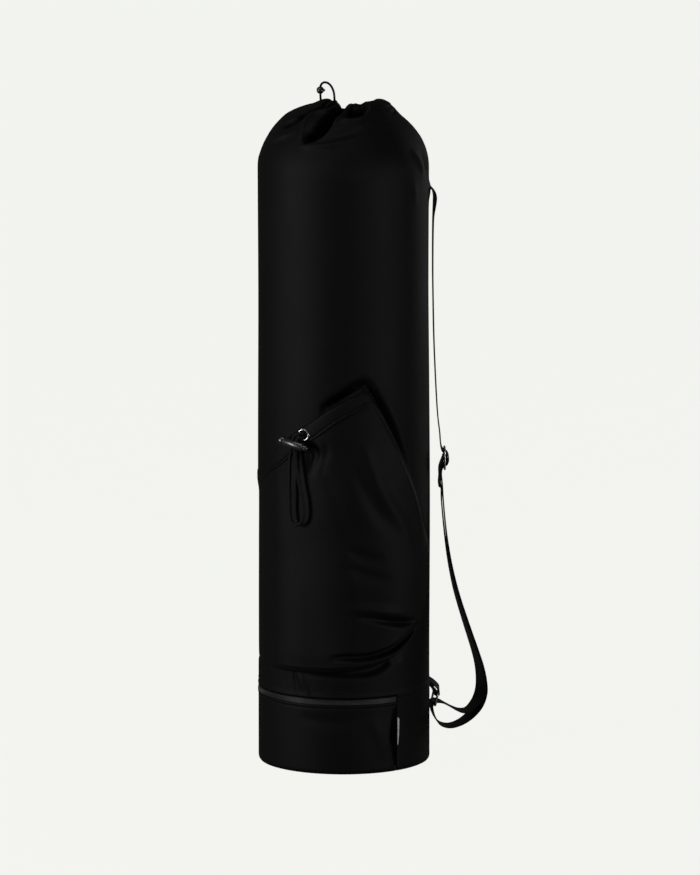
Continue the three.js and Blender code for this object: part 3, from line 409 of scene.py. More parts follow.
def cloth_sheet(name, columns, rows, spot, size):
    """A grid of cloth of a flat width and height, whose points go to spot(across, up), both from 0 to 1."""
    bpy.ops.object.select_all(action="DESELECT")
    bpy.ops.mesh.primitive_grid_add(x_subdivisions=columns, y_subdivisions=rows, size=2)
    sheet = bpy.context.object
    sheet.name = name
    for vertex in sheet.data.vertices:
        vertex.co = spot((vertex.co.x + 1) / 2, (vertex.co.y + 1) / 2)
    for corner in sheet.data.uv_layers[0].data:
        corner.uv = (corner.uv[0] * size[0], corner.uv[1] * size[1])
    bpy.ops.object.mode_set(mode="EDIT")
    bpy.ops.mesh.select_all(action="SELECT")
    bpy.ops.mesh.remove_doubles(threshold=0.000001)
    bpy.ops.object.mode_set(mode="OBJECT")
    return sheet


def thicken(sheet, thickness):
    """Gives a sheet its wall on the inner side."""
    bpy.ops.object.select_all(action="DESELECT")
    bpy.context.view_layer.objects.active = sheet
    sheet.select_set(True)
    bpy.ops.object.modifier_add(type="SOLIDIFY")
    sheet.modifiers[-1].thickness = thickness
    sheet.modifiers[-1].offset = -1
    bpy.ops.object.modifier_apply(modifier=sheet.modifiers[-1].name)
    bpy.ops.object.shade_smooth_by_angle(angle=math.radians(50))


def creases_from(rows):
    """Creases as fine lines of turn, way, depth and half width, each with how far it reaches."""
    creases = []
    for left, right, spots in rows:
        places = smooth_line([(turn, way, depth) for turn, way, depth, _ in spots])
        widths = smooth_line([(width, i, 0) for i, (_, _, _, width) in enumerate(spots)])
        count = SHARES * (len(spots) - 1)
        line = [(*places(i / count), widths(i / count).x) for i in range(count + 1)]
        creases.append((left, right, line, 2.2 * max(width for *_, width in line)))
    return creases


def creases_near(creases, way):
    """The creases that reach a way up the cloth, each with only its stretches that are near it."""
    near = []
    for left, right, line, reach in creases:
        steps = [
            (start, end) for start, end in zip(line, line[1:])
            if min(abs(start[1] - way), abs(end[1] - way)) < reach
        ]
        if steps:
            near.append((left, right, steps, reach))
    return near


def crease_depth(near_creases, turn, way, radius):
    """How deep the creases lie at a spot of the cloth, in mm. Turns are measured at the spot's radius."""
    depth = 0
    degree = math.radians(radius / MM)
    for left, right, steps, reach in near_creases:
        nearest, sunk = 9.0, 0
        for (turn0, way0, depth0, width0), (turn1, way1, depth1, width1) in steps:
            x0 = ((turn0 - turn + 540) % 360 - 180) * degree
            if abs(x0) > 2 * reach + 12:
                continue
            across, y0, along = (turn1 - turn0) * degree, way0 - way, way1 - way0
            share = -(x0 * across + y0 * along) / (across * across + along * along)
            share = min(max(share, 0), 1)
            apart = math.hypot(x0 + share * across, y0 + share * along) / (width0 + share * (width1 - width0))
            if apart < nearest:
                nearest = apart
                side = left if x0 * along - y0 * across > 0 else right
                sunk = (depth0 + share * (depth1 - depth0)) * math.exp(-apart ** side)
        depth += sunk
    return depth


def tube_meridian():
    """The bag's outline from the band to inside the mouth: radius, height and gather of each row of cloth."""
    rows = []
    for (low, step), (high, _) in zip(TUBE_STEPS, TUBE_STEPS[1:]):
        count = round((high - low) / step)
        rows += [(BODY_RADIUS, (low + (high - low) * i / count) * MM, 0) for i in range(count)]
    for i in range(DOME_ROWS):
        angle = NECK_ANGLE * i / DOME_ROWS
        radius = BODY_RADIUS * math.cos(angle)
        height = SHOULDER_HEIGHT + DOME_RISE * math.sin(angle)
        rows.append((radius, height, (BODY_RADIUS - radius) / (BODY_RADIUS - NECK_RADIUS)))
    mouth_line = smooth_line([(inward, rise, 0) for inward, rise in MOUTH_LINE])
    for i in range(MOUTH_ROWS + 1):
        inward, rise = mouth_line(i / MOUTH_ROWS)[:2]
        radius = NECK_RADIUS + (MOUTH_RADIUS - NECK_RADIUS) * inward
        rows.append((radius, NECK_HEIGHT + CROWN_RISE * rise, 1 + inward))
    return rows


meridian = tube_meridian()
ways = [BAND_TOP]
for (radius, height, _), (next_radius, next_height, _) in zip(meridian, meridian[1:]):
    ways.append(ways[-1] + math.hypot(next_radius - radius, next_height - height))
body_rows = len(meridian) - 1
tube_creases = creases_from(TUBE_CREASES)
row_creases = [creases_near(tube_creases, way / MM) for way in ways]


def table_value(rows, share):
    row = 0
    while row < len(rows) - 2 and rows[row + 1][0] < share:
        row += 1
    (start, low), (end, high) = rows[row:row + 2]
    return low + (high - low) * smooth(start, end, share)


def pocket_dent(turn, height):
    """How far the pocket presses the tube in, where the pocket lies flat on it."""
    top = table_value(DENT_TOP, turn)
    sides = smooth(-117, -109, turn) * (1 - smooth(-62, -46, turn))
    return DENT * sides * smooth(107, 116, height) * (1 - smooth(top - 6, top, height))


def body_spot(across, up):
    row = round(up * body_rows)
    radius, height, gather = meridian[row]
    before = meridian[max(row - 1, 0)]
    after = meridian[min(row + 1, body_rows)]
    along = Vector((after[0] - before[0], after[1] - before[1])).normalized()
    angle = 2 * math.pi * (across - 0.5)
    turn = math.degrees(angle - FRONT_CLOSER * math.sin(angle))
    creased = crease_depth(row_creases[row], turn, ways[row] / MM, radius)
    sunk = (creased + pocket_dent(turn, height / MM)) * MM
    place = bag_place(1, turn, 0)
    swell = noise.noise(Vector((place.x * 2.2, place.y * 2.2, height * 5)))
    sunk += 0.7 * MM * swell * (1 - smooth(1, 1.3, gather))
    sunk -= 0.5 * MM * (1 - smooth(BAND_TOP + 1.5 * MM, BAND_TOP + 4 * MM, height))
    spot = bag_place(radius - along.y * sunk, turn, height + along.x * sunk)
    behind = smooth(0, NECK_RADIUS * 0.8, spot.y) * smooth(*SINK_SIDE, spot.x)
    spot.z -= GATHER_SINK * behind * smooth(0.5, 1, gather)
    spot.x += GATHER_SHIFT * smooth(0.55, 1.15, gather)
    return spot


def nylon(tree):
    """Matte black woven nylon: fine threads both ways, a faint crumple and slightly uneven dye."""
    place = node(tree, "TexCoord").other("Object")
    threads = node(tree, "UVMap")
    wave = {"Vector": threads, "Scale": 700, "Distortion": 0.6, "Detail": 1}
    weave_across = node(tree, "TexWave", {"bands_direction": "X"}, wave)
    weave_up = node(tree, "TexWave", {"bands_direction": "Y"}, wave)
    crumple = node(tree, "TexNoise", None, {"Vector": place, "Scale": 38, "Detail": 4, "Roughness": 0.55})
    dye = node(tree, "TexNoise", None, {"Vector": place, "Scale": 14, "Detail": 3})
    weave = weave_across * weave_up
    mixed = dye * 0.7 + weave * 0.3
    shade = node(tree, "ValToRGB", {"stops": [(0.25, 0.0036), (0.8, 0.0064)]}, {"Fac": mixed})
    bump = node(tree, "Bump", None, {"Height": weave, "Strength": 0.35, "Distance": 0.0001})
    bump = node(tree, "Bump", None, {"Height": crumple, "Strength": 0.3, "Distance": 0.0012, "Normal": bump})
    return node(tree, "BsdfPrincipled", None, {
        "Base Color": shade, "Roughness": 0.5 + dye * 0.14, "Normal": bump,
        "Specular IOR Level": 0.17,
    })


nylon_finish = finish("black_nylon", nylon)
body_size = (2 * math.pi * BODY_RADIUS, ways[-1] - BAND_TOP)
body = cloth_sheet("bag_body", BODY_COLUMNS, body_rows, body_spot, body_size)
thicken(body, CLOTH)
body.data.materials.append(nylon_finish)
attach(body, "bag")
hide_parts("body_shell", "mouth_casing")


# Pocket pouch
# A slanted pocket of the same nylon, sewn to the tube along its left, bottom and right edges. It stands off
# the bag most near its right side, where it sags into folds.
POCKET_BOTTOM = 109
POCKET_HEIGHT = 303
POCKET_PUFF = 19
POCKET_HEM_WIDTH = 21
SEWN_STAND = [(-108, -2.8), (-80, -2.7), (-62, -1.6), (-44, 0.9), (60, 0.9)]
POCKET_FOOT = [(-108, 0.01), (-70, 0), (-27, 0), (0, 0.007), (20, 0.025), (38, 0.08), (50, 0.18)]
POCKET_RIGHT = [
    (50, 0.18), (56, 0.25), (60, 0.35), (60, 0.46), (56, 0.56), (49, 0.66), (41, 0.755), (31, 0.865),
    (21, 0.955),
    (13, 1),
]
POCKET_MOUTH = [
    (-108, 0.62), (-80, 0.682), (-61, 0.745), (-48, 0.78), (-29, 0.86), (-22, 0.885), (-8, 0.942),
    (6, 0.985),
    (13, 1),
]
POCKET_LEFT = [(-108, 0.01), (-108, 0.62)]
PUFF_ACROSS = [
    (0, 0.02), (0.15, 0.06), (0.35, 0.32), (0.55, 0.72), (0.75, 1), (0.93, 0.92), (0.975, 0.7), (1, 0),
]
PUFF_UP = [(0, 0), (0.014, 0.55), (0.035, 0.84), (0.1, 0.95), (0.3, 1), (0.6, 0.78), (0.85, 0.5), (1, 0.4)]
POCKET_COLUMNS = 190
POCKET_ROWS = 150
FOOT_CLOSER = 1.3
POUCH_CREASES = [
    (2, 2, [(-27, 354, 0, 3), (-23, 353, 6, 4.5), (-18.5, 347, 7.5, 5), (-19, 336, 4, 5),
            (-21, 320, 0, 4)]),
    (2, 2, [(-34, 349, 0, 2), (-33, 342, 2, 2.4), (-31, 330, 1.2, 3), (-30, 316, 0, 3)]),
    (2, 2, [(-11, 360, 0, 3), (-10, 350, 1.2, 4), (-12, 336, 0.8, 4), (-15, 320, 0, 4)]),
    (2, 3, [(6, 173, 0, 3), (16, 171, 2.4, 3.5), (26, 167, 5.5, 3.6), (34, 164.5, 8, 3.6),
            (40, 164, 4, 3), (45, 165, 0, 3)]),
    (2, 2, [(0, 182, 0, 5), (12, 181, -2, 5), (26, 177, -2.4, 5), (38, 174, 0, 4)]),
    (2, 2, [(2, 244, 0, 5), (8, 240, 2.4, 6), (16, 234, 2.4, 6), (24, 236, 0, 5)]),
    (2, 2, [(-2, 228, 0, 5), (8, 222, 1.6, 6), (18, 214, 1.6, 6), (28, 212, 0, 5)]),
    (2, 2, [(11, 358, 0, 5), (14, 346, -1.8, 5), (22, 307, -2, 6), (36, 265, -1.8, 6), (42, 238, 0, 5)]),
    (2, 2, [(6, 340, 0, 6), (10, 318, 2, 7), (20, 284, 2, 7), (30, 258, 0, 6)]),
    (3, 4, [(-8, 127, 0, 3), (2, 129, 7, 3.5), (12, 128.5, 10, 3.6), (21, 131.5, 10, 3.6),
            (30.5, 138, 9, 3.5),
            (40, 150, 6, 3), (47, 163, 0, 3)]),
    (2, 2, [(48, 300, 0, 4), (52, 280, 1.8, 4), (54, 256, 1.8, 4), (53, 230, 0, 4)]),
]
pouch_creases = creases_from(POUCH_CREASES)
POUCH_LEVELS = range(100, 430)
level_creases = [creases_near(pouch_creases, level) for level in POUCH_LEVELS]


def edge_line(rows):
    return smooth_line([(turn, POCKET_BOTTOM + POCKET_HEIGHT * up, 0) for turn, up in rows])


foot_line = edge_line(POCKET_FOOT)
right_line = edge_line(POCKET_RIGHT)
top_line = edge_line(POCKET_MOUTH)
left_line = edge_line(POCKET_LEFT)


def pocket_spot(across, up):
    """Turn in degrees and height in mm of a place on the pocket, blended from its four edges."""
    spot = foot_line(across) * (1 - up) + top_line(across) * up
    spot += left_line(up) * (1 - across) + right_line(up) * across
    spot -= foot_line(0) * (1 - across) * (1 - up) + foot_line(1) * across * (1 - up)
    spot -= top_line(0) * (1 - across) * up + top_line(1) * across * up
    return spot


def pocket_stand(across, up, turn):
    puff = POCKET_PUFF * table_value(PUFF_ACROSS, across) * table_value(PUFF_UP, up)
    return table_value(SEWN_STAND, turn) + puff


def hem_start(across):
    return 1 - POCKET_HEM_WIDTH / (top_line(across).y - foot_line(across).y)


def pocket_place(across, up, lift):
    spot = pocket_spot(across, up)
    stand = pocket_stand(across, up, spot.x)
    near = level_creases[int(spot.y) - POUCH_LEVELS[0]]
    stand -= min(crease_depth(near, spot.x, spot.y, BODY_RADIUS), 0.75 * max(stand, 0))
    return bag_place(BODY_RADIUS + (stand + lift) * MM, spot.x, spot.y * MM)


def eased(across):
    return 1 - (1 - across) ** 1.35


def pouch_spot(across, up):
    across = eased(across)
    return pocket_place(across, up ** FOOT_CLOSER * (hem_start(across) - 0.0016), CLOTH / MM)


pouch = cloth_sheet("pocket_cloth", POCKET_COLUMNS, POCKET_ROWS, pouch_spot, (0.29, 0.28))
thicken(pouch, CLOTH)
pouch.data.materials.append(nylon_finish)
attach(pouch, "bag")
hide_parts("pocket_pouch")


# Pocket hem
# The pocket's turned and stitched cord casing along its slanted mouth. The grommet sits on it near its
# middle; no hole is cut for it.
HEM_THICKNESS = 3
HEM_REST = 0.982
HEM_ROWS = 24
HEM_STITCH_WAYS = (0.13, 0.9)
HEM_STITCH_DEPTH = 0.7


def hem_spot(across, up):
    across = eased(across)
    start = hem_start(across)
    groove = sum(math.exp(-((up - way) / 0.035) ** 2) for way in HEM_STITCH_WAYS)
    groove *= 0.25 + 0.75 * smooth(-70, -45, top_line(across).x)
    lift = HEM_THICKNESS - HEM_STITCH_DEPTH * groove + 0.5 * math.sin(up * math.pi)
    flat = 1 - smooth(-70, -45, top_line(across).x)
    lift -= flat * (HEM_THICKNESS - CLOTH / MM) * (1 - smooth(0.1, 0.8, up))
    lift += 0.9 * flat * smooth(-96, -76, top_line(across).x) * smooth(0.6, 1, up)
    way = start + (1 - start) * up
    turn = pocket_spot(across, way).x
    lift += pocket_stand(min(across, HEM_REST), way, turn) - pocket_stand(across, way, turn)
    return pocket_place(across, way, lift)


hem = cloth_sheet("hem_casing", 200, HEM_ROWS, hem_spot, (0.27, 0.021))
thicken(hem, HEM_THICKNESS * MM)
hem.data.materials.append(nylon_finish)
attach(hem, "bag")
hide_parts("pocket_hem")


# Bottom band
# A front panel under the zip and a back panel that is sewn straight to the tube; both are turned in at the
# foot round the flat base.
SEAM_TURN = 39
BACK_SEAM_TURN = 156.2
BAND_FOOT = 5 * MM
ZIP_LOW = 75 * MM
SEAM_GAP = 0.2
PANEL_GAP = 0.3


def band_radius(height):
    return BODY_RADIUS - BAND_FOOT * (1 - math.sqrt(1 - max(0, 1 - height / BAND_FOOT) ** 2)) * 0.68


# Folds of the front panel beside its right seam, and its soft swells, laid down as the tube's creases are
BAND_CREASES = [
    (3, 4, [(38.4, 71, 0, 1.6), (37.4, 62, 4.4, 2.6), (36.3, 45, 7, 3.6), (36.3, 25, 6.5, 3.4),
            (37.3, 9, 4.2, 2.4),
            (38, 3, 1.5, 2)]),
    (2, 2, [(18, 60, 0, 6), (24, 47, -1.2, 7), (27, 30, -1, 7), (24, 14, 0, 6)]),
    (2, 2, [(-30, 66, 0, 5), (-26, 60, 0.8, 6), (-10, 57, 1.2, 7), (10, 60, 0.8, 6), (20, 66, 0, 5)]),
    (2, 2, [(50, 56, 0, 4), (58, 47, 0.9, 4), (66, 42, 0.9, 4), (74, 40, 0, 4)]),
    (2, 2, [(48, 38, 0, 4), (56, 34, 0.8, 4), (64, 33, 0, 4)]),
    (2, 2, [(86, 0, -1.4, 26), (86, 90, -1.4, 26)]),
]
band_creases = creases_from(BAND_CREASES)
BAND_ROWS = 60
BAND_CLOSER = 1.5
TOP_ROLL = 0.45
TOP_STITCH = 3.6
STITCH_DENT = 0.4


def band_place(turn, height, top):
    """A place on the band's face: a rolled upper edge, a stitched groove under it, and its creases."""
    under = (top - height) / MM
    rolled = TOP_ROLL * math.exp(-((under - 1.2) / 1.2) ** 2)
    stand = rolled - STITCH_DENT * math.exp(-((under - TOP_STITCH) / 0.8) ** 2)
    stand -= crease_depth(creases_near(band_creases, height / MM), turn, height / MM, BODY_RADIUS)
    return bag_place(band_radius(height) + stand * MM, turn, height)


def band_panel(name, cad_node, start, end, top):
    low = 0.6 * MM

    def spot(across, up):
        height = top - (top - low) * (1 - up) ** BAND_CLOSER
        return band_place(start + (end - start) * across, height, top)

    width = math.radians(end - start) * BODY_RADIUS
    panel = cloth_sheet(name, round(width / MM / 1.6), BAND_ROWS, spot, (width, top))
    thicken(panel, CLOTH)
    panel.data.materials.append(nylon_finish)
    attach(panel, "bag")
    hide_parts(cad_node)


ZIP_START = BACK_SEAM_TURN - 360 + SEAM_GAP
ZIP_END = SEAM_TURN - SEAM_GAP
FRONT_TOP = ZIP_LOW - PANEL_GAP * MM
BACK_TOP = BAND_TOP - PANEL_GAP * MM
band_panel("band_front_panel", "band_front", ZIP_START, ZIP_END, FRONT_TOP)
band_panel("band_back_panel", "band_back", SEAM_TURN + SEAM_GAP, BACK_SEAM_TURN - SEAM_GAP, BACK_TOP)


# Shoulder strap
# One black polyester webbing, 25 mm wide: sewn into the tube near its top, it runs down through the steel
# slider, round the ring low on the side and back up to the slider's middle bar, where its end is sewn.
WEBBING_WIDTH = 25 * MM
WEBBING = 1.4 * MM
STRAP_TURN = 97.6
STRAP_ROUTE = [
    (0.6, 611.0, 0), (2.8, 611.6, 0), (5.5, 608.1, 0), (7.2, 601.7, 0), (6.8, 593.6, -2), (5.6, 580.8, -6),
    (5.0, 526.9, -7), (5.5, 489.2, -7), (6.3, 451.5, -7), (8.2, 406.3, -7), (10.6, 366.8, -7),
    (12.6, 350.0, -7),
    (15.1, 331.0, -7), (20.5, 325.8, -7), (22.0, 321.0, -7), (20.5, 316.2, -7), (15.1, 311.0, -7),
    (15.6, 292.1, -7), (16.7, 274.7, -7), (19.8, 242.2, -6), (24.5, 209.8, -3), (31.4, 178.0, 1),
    (41.2, 145.5, 4), (51.6, 113.6, 7), (56.2, 97.3, 10), (58.8, 81.0, 14), (58.6, 67.0, 17),
    (54.2, 53.4, 15),
    (44.3, 41.2, 10), (33.0, 34.0, 5), (22.2, 31.6, 1), (12.6, 34.9, 0), (5.8, 45.9, 0), (3.5, 57.1, 0),
    (4.0, 54.5, 0), (4.5, 57.9, 0), (6.4, 59.1, 0), (9.3, 59.4, 3), (14.4, 58.3, 8), (21.6, 54.4, 9),
    (28.6, 50.4, 7), (35.4, 47.7, 5), (42.6, 48.0, 6), (50.2, 55.2, 10), (56.4, 67.0, 17), (56.9, 80.8, 14),
    (54.4, 96.9, 10), (49.8, 113.1, 7), (39.4, 145.0, 4), (29.6, 177.5, 1), (22.6, 209.5, -3),
    (17.9, 242.0, -6), (14.8, 274.5, -7),
    (13.7, 291.9, -7), (11.9, 293.0, -7), (12.1, 301.0, -7), (12.1, 310.0, -7), (13.7, 315.5, -7),
    (15.9, 321.0, -7), (16.5, 322.5, -7), (18.0, 323.1, -7), (19.5, 322.5, -7), (20.1, 321.0, -7),
    (18.1, 316.0, -7), (14.0, 310.8, -7), (13.8, 291.0, -7),
]


def strap_place(out, height):
    return bag_place(BODY_RADIUS + out * MM, STRAP_TURN, height * MM)


def ribbed_webbing(tree):
    """Black polyester webbing: fine cross ribs in two rows of slanted threads, satin where it bends."""
    spot = node(tree, "UVMap")
    place = node(tree, "TexCoord").other("Object")
    across = node(tree, "SeparateXYZ", None, {0: spot})
    along = across.other("Y")
    slant = node(tree, "Math", {"operation": "PINGPONG"}, {0: across, 1: WEBBING_WIDTH / 8})
    ribs = node(tree, "Math", {"operation": "SINE"}, {0: (along + slant * 0.8) * 3800}) * 0.5 + 0.5
    edge = node(tree, "Math", {"operation": "SINE"}, {0: across * 1500}) * 0.5 + 0.5
    wear = node(tree, "TexNoise", None, {"Vector": place, "Scale": 60, "Detail": 3})
    weave = ribs * 0.75 + edge * 0.25
    mixed = weave * 0.6 + wear * 0.4
    shade = node(tree, "ValToRGB", {"stops": [(0.2, 0.003), (0.85, 0.0085)]}, {"Fac": mixed})
    bump = node(tree, "Bump", None, {"Height": weave, "Strength": 0.5, "Distance": 0.0002})
    return node(tree, "BsdfPrincipled", None, {
        "Base Color": shade, "Roughness": 0.4 + wear * 0.15, "Normal": bump, "Specular IOR Level": 0.22,
    })


webbing_finish = finish("black_webbing", ribbed_webbing)
WEBBING_SIDES = 20


def webbing_strip(name, route, turn, steps):
    """A length of webbing along a route of out, height and twist: a flat band with soft rounded edges."""
    line = smooth_line([(out, height, 0) for out, height, _ in route])
    twists = smooth_line([(twist, i, 0) for i, (_, _, twist) in enumerate(route)])
    side = bag_place(1, turn + 90, 0)
    half = WEBBING_WIDTH / 2
    round_off = WEBBING / 2

    def section(share):
        """Across and face distances of a point round the band's flat section."""
        part = share % 1 * 4
        if part < 1:
            return half - round_off - part * 2 * (half - round_off), round_off
        if part < 2:
            angle = math.pi / 2 + (part - 1) * math.pi
            return -(half - round_off) + math.cos(angle) * round_off, math.sin(angle) * round_off
        if part < 3:
            return -(half - round_off) + (part - 2) * 2 * (half - round_off), -round_off
        angle = -math.pi / 2 + (part - 3) * math.pi
        return half - round_off + math.cos(angle) * round_off, math.sin(angle) * round_off

    length = sum((line((i + 1) / steps) - line(i / steps)).length for i in range(steps)) * MM

    def spot(across, up):
        here = line(up)
        before, after = line(max(up - 0.0005, 0)), line(min(up + 0.0005, 1))
        along = (strap_place(after.x, after.y) - strap_place(before.x, before.y)).normalized()
        wide = Matrix.Rotation(math.radians(twists(up).x), 3, "Z") @ side
        wide = (wide - along * wide.dot(along)).normalized()
        face = along.cross(wide)
        w, t = section(across)
        return strap_place(here.x, here.y) + wide * w + face * t

    strip = cloth_sheet(name, WEBBING_SIDES * 4, steps, spot, (2 * WEBBING_WIDTH, length))
    close_ends(strip)
    strip.data.materials.append(webbing_finish)
    return strip


def close_ends(piece):
    """Fills a tube's two open ends and turns its faces outwards."""
    bpy.ops.object.select_all(action="DESELECT")
    bpy.context.view_layer.objects.active = piece
    piece.select_set(True)
    bpy.ops.object.mode_set(mode="EDIT")
    bpy.ops.mesh.select_all(action="DESELECT")
    bpy.ops.mesh.select_non_manifold()
    bpy.ops.mesh.edge_face_add()
    bpy.ops.mesh.select_all(action="SELECT")
    bpy.ops.mesh.normals_make_consistent(inside=False)
    bpy.ops.object.mode_set(mode="OBJECT")
    bpy.ops.object.shade_smooth_by_angle(angle=math.radians(50))


strap = webbing_strip("shoulder_strap", STRAP_ROUTE, STRAP_TURN, 900)
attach(strap, "bag")
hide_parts("strap_webbing")


# Ring tab
# A short length of the same webbing, folded round the ring's upper bar and caught in the band's top seam.
TAB_ROUTE = [
    (0.8, 82.6, -9), (4.1, 80.9, -9), (8.5, 77.1, -9), (11.6, 73.2, -9), (12.2, 69.6, -6), (11.0, 67.2, -3),
    (8.8, 66.9, -3), (6.9, 68.9, -6), (6.3, 72.6, -9), (4.4, 76.1, -9), (1.9, 78.9, -9), (0.9, 80.0, -9),
]
tab = webbing_strip("tab_webbing", TAB_ROUTE, STRAP_TURN, 90)
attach(tab, "bag")
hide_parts("ring_tab")


# Strap slider
# A three-bar slider bent from nickel-plated steel wire: a rounded frame with its middle bar welded across.
SLIDER_PLACE = Vector((107.051, 14.284, 321)) * MM
SLIDER_TURN = STRAP_TURN - 7
SLIDER_WIDE = 27.8 * MM
SLIDER_TALL = 20 * MM
SLIDER_BAR = 2.2 * MM


def nickel(tree):
    """Bright nickel plate with fine polishing marks and faint handling haze."""
    place = node(tree, "TexCoord").other("Object")
    marks = node(tree, "TexNoise", None, {"Vector": place, "Scale": 900, "Detail": 3})
    haze = node(tree, "TexNoise", None, {"Vector": place, "Scale": 140, "Detail": 2})
    shade = node(tree, "ValToRGB", {"stops": [(0.2, 0.62), (0.8, 0.82)]}, {"Fac": haze})
    bump = node(tree, "Bump", None, {"Height": marks, "Strength": 0.08, "Distance": 0.00005})
    return node(tree, "BsdfPrincipled", None, {
        "Base Color": shade, "Metallic": 1, "Roughness": 0.14 + haze * 0.14, "Normal": bump,
    })


nickel_finish = finish("nickel_plate", nickel)


def wire_frame(name, wide, tall, wire, place, turn, lean):
    """A rounded rectangle of round wire that stands on a side of the bag."""
    bpy.ops.object.select_all(action="DESELECT")
    bpy.ops.mesh.primitive_plane_add(size=1)
    frame_piece = bpy.context.object
    frame_piece.name = name
    for vertex in frame_piece.data.vertices:
        vertex.co = (vertex.co.x * wide, 0, vertex.co.y * tall)
    bpy.ops.object.mode_set(mode="EDIT")
    bpy.ops.mesh.select_all(action="SELECT")
    bpy.ops.mesh.bevel(offset=wire, offset_type="OFFSET", affect="VERTICES", segments=8)
    bpy.ops.mesh.delete(type="ONLY_FACE")
    bpy.ops.object.mode_set(mode="OBJECT")
    bpy.ops.object.convert(target="CURVE")
    bpy.context.object.data.bevel_depth = wire / 2
    bpy.context.object.data.bevel_resolution = 5
    bpy.ops.object.convert(target="MESH")
    frame_piece = bpy.context.object
    set_down(frame_piece, side_frame(place, turn, lean))
    frame_piece.data.materials.append(nickel_finish)
    return frame_piece


def side_frame(place, turn, lean):
    """Where a fitting stands: X along its bars, Y away from the bag, Z up, leaned about X."""
    x = -bag_place(1, turn + 90, 0)
    y = bag_place(1, turn, 0)
    axes = Matrix((x, y, (0, 0, 1))).transposed().to_4x4()
    return Matrix.Translation(place) @ axes @ Matrix.Rotation(lean, 4, "X")


def set_down(piece, matrix):
    """Puts a piece's place into its mesh, and shades it smooth up to its sharp edges."""
    piece.data.transform(matrix)
    bpy.ops.object.select_all(action="DESELECT")
    bpy.context.view_layer.objects.active = piece
    piece.select_set(True)
    bpy.ops.object.shade_smooth_by_angle(angle=math.radians(40))


slider = wire_frame("slider_wire", SLIDER_WIDE, SLIDER_TALL, SLIDER_BAR, SLIDER_PLACE, SLIDER_TURN, 0)
bpy.ops.mesh.primitive_cylinder_add(
    vertices=24, radius=SLIDER_BAR / 2, depth=SLIDER_WIDE, rotation=(0, math.pi / 2, 0),
)
middle_bar = bpy.context.object
bpy.ops.object.transform_apply(rotation=True)
set_down(middle_bar, side_frame(SLIDER_PLACE, SLIDER_TURN, 0))
middle_bar.data.materials.append(nickel_finish)
bpy.ops.object.select_all(action="DESELECT")
slider.select_set(True)
middle_bar.select_set(True)
bpy.context.view_layer.objects.active = slider
bpy.ops.object.join()
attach(slider, "bag")
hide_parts("strap_slider")


# Strap ring
# A rounded loop of thicker nickel-plated wire that hangs in its tab, low on the side: the strap runs over
# its lower bar.
RING_PLACE = Vector((96.934, 12.934, 63.054)) * MM
RING_WIDE = 28 * MM
RING_TALL = 13.4 * MM
RING_WIRE = 2.4 * MM
RING_LEAN = math.radians(-12)
ring = wire_frame("ring_wire", RING_WIDE, RING_TALL, RING_WIRE, RING_PLACE, STRAP_TURN, RING_LEAN)
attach(ring, "bag")
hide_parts("strap_ring")


# Pocket grommet
# A two-part steel eyelet pressed through the hem: a rolled rim outside and a short tube that goes through.
GROMMET_PLACE = Vector((-41.668, -90.765, 364.961)) * MM
GROMMET_TURN = math.radians(-24.659)
GROMMET_SECTION = [
    (3.0, 4.3), (-0.3, 4.3), (-0.9, 4.55), (-1.25, 5.1), (-1.35, 5.7), (-1.15, 6.3), (-0.75, 6.65),
    (-0.35, 6.7),
    (-0.3, 6.4), (-0.3, 5.0), (3.0, 5.0),
]


def turned(name, section, steps, closed=True):
    """A turned piece: its section of along and radius in mm, spun about X."""
    bpy.ops.object.select_all(action="DESELECT")
    bpy.ops.mesh.primitive_circle_add(vertices=len(section), radius=1)
    piece = bpy.context.object
    piece.name = name
    for vertex, (along, radius) in zip(piece.data.vertices, section):
        vertex.co = (along * MM, 0, radius * MM)
    if not closed:
        bpy.ops.object.mode_set(mode="EDIT")
        bpy.ops.mesh.select_mode(type="EDGE")
        bpy.ops.mesh.select_all(action="DESELECT")
        bpy.ops.object.mode_set(mode="OBJECT")
        for edge in piece.data.edges:
            edge.select = set(edge.vertices) == {0, len(section) - 1}
        bpy.ops.object.mode_set(mode="EDIT")
        bpy.ops.mesh.delete(type="EDGE")
        bpy.ops.object.mode_set(mode="OBJECT")
    bpy.ops.object.mode_set(mode="EDIT")
    bpy.ops.mesh.select_mode(type="VERT")
    bpy.ops.mesh.select_all(action="SELECT")
    bpy.ops.mesh.spin(steps=steps, angle=2 * math.pi, center=(0, 0, 0), axis=(1, 0, 0))
    bpy.ops.mesh.select_all(action="SELECT")
    bpy.ops.mesh.remove_doubles(threshold=0.000001)
    bpy.ops.mesh.dissolve_degenerate(threshold=0.000001)
    bpy.ops.mesh.select_all(action="SELECT")
    bpy.ops.mesh.normals_make_consistent(inside=False)
    bpy.ops.object.mode_set(mode="OBJECT")
    return piece


grommet = turned("grommet_eyelet", GROMMET_SECTION, 56)
face_in = Matrix.Rotation(math.pi / 2, 4, "Z")
set_down(grommet, Matrix.Translation(GROMMET_PLACE) @ Matrix.Rotation(GROMMET_TURN, 4, "Z") @ face_in)
grommet.data.materials.append(nickel_finish)
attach(grommet, "bag")
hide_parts("pocket_grommet")


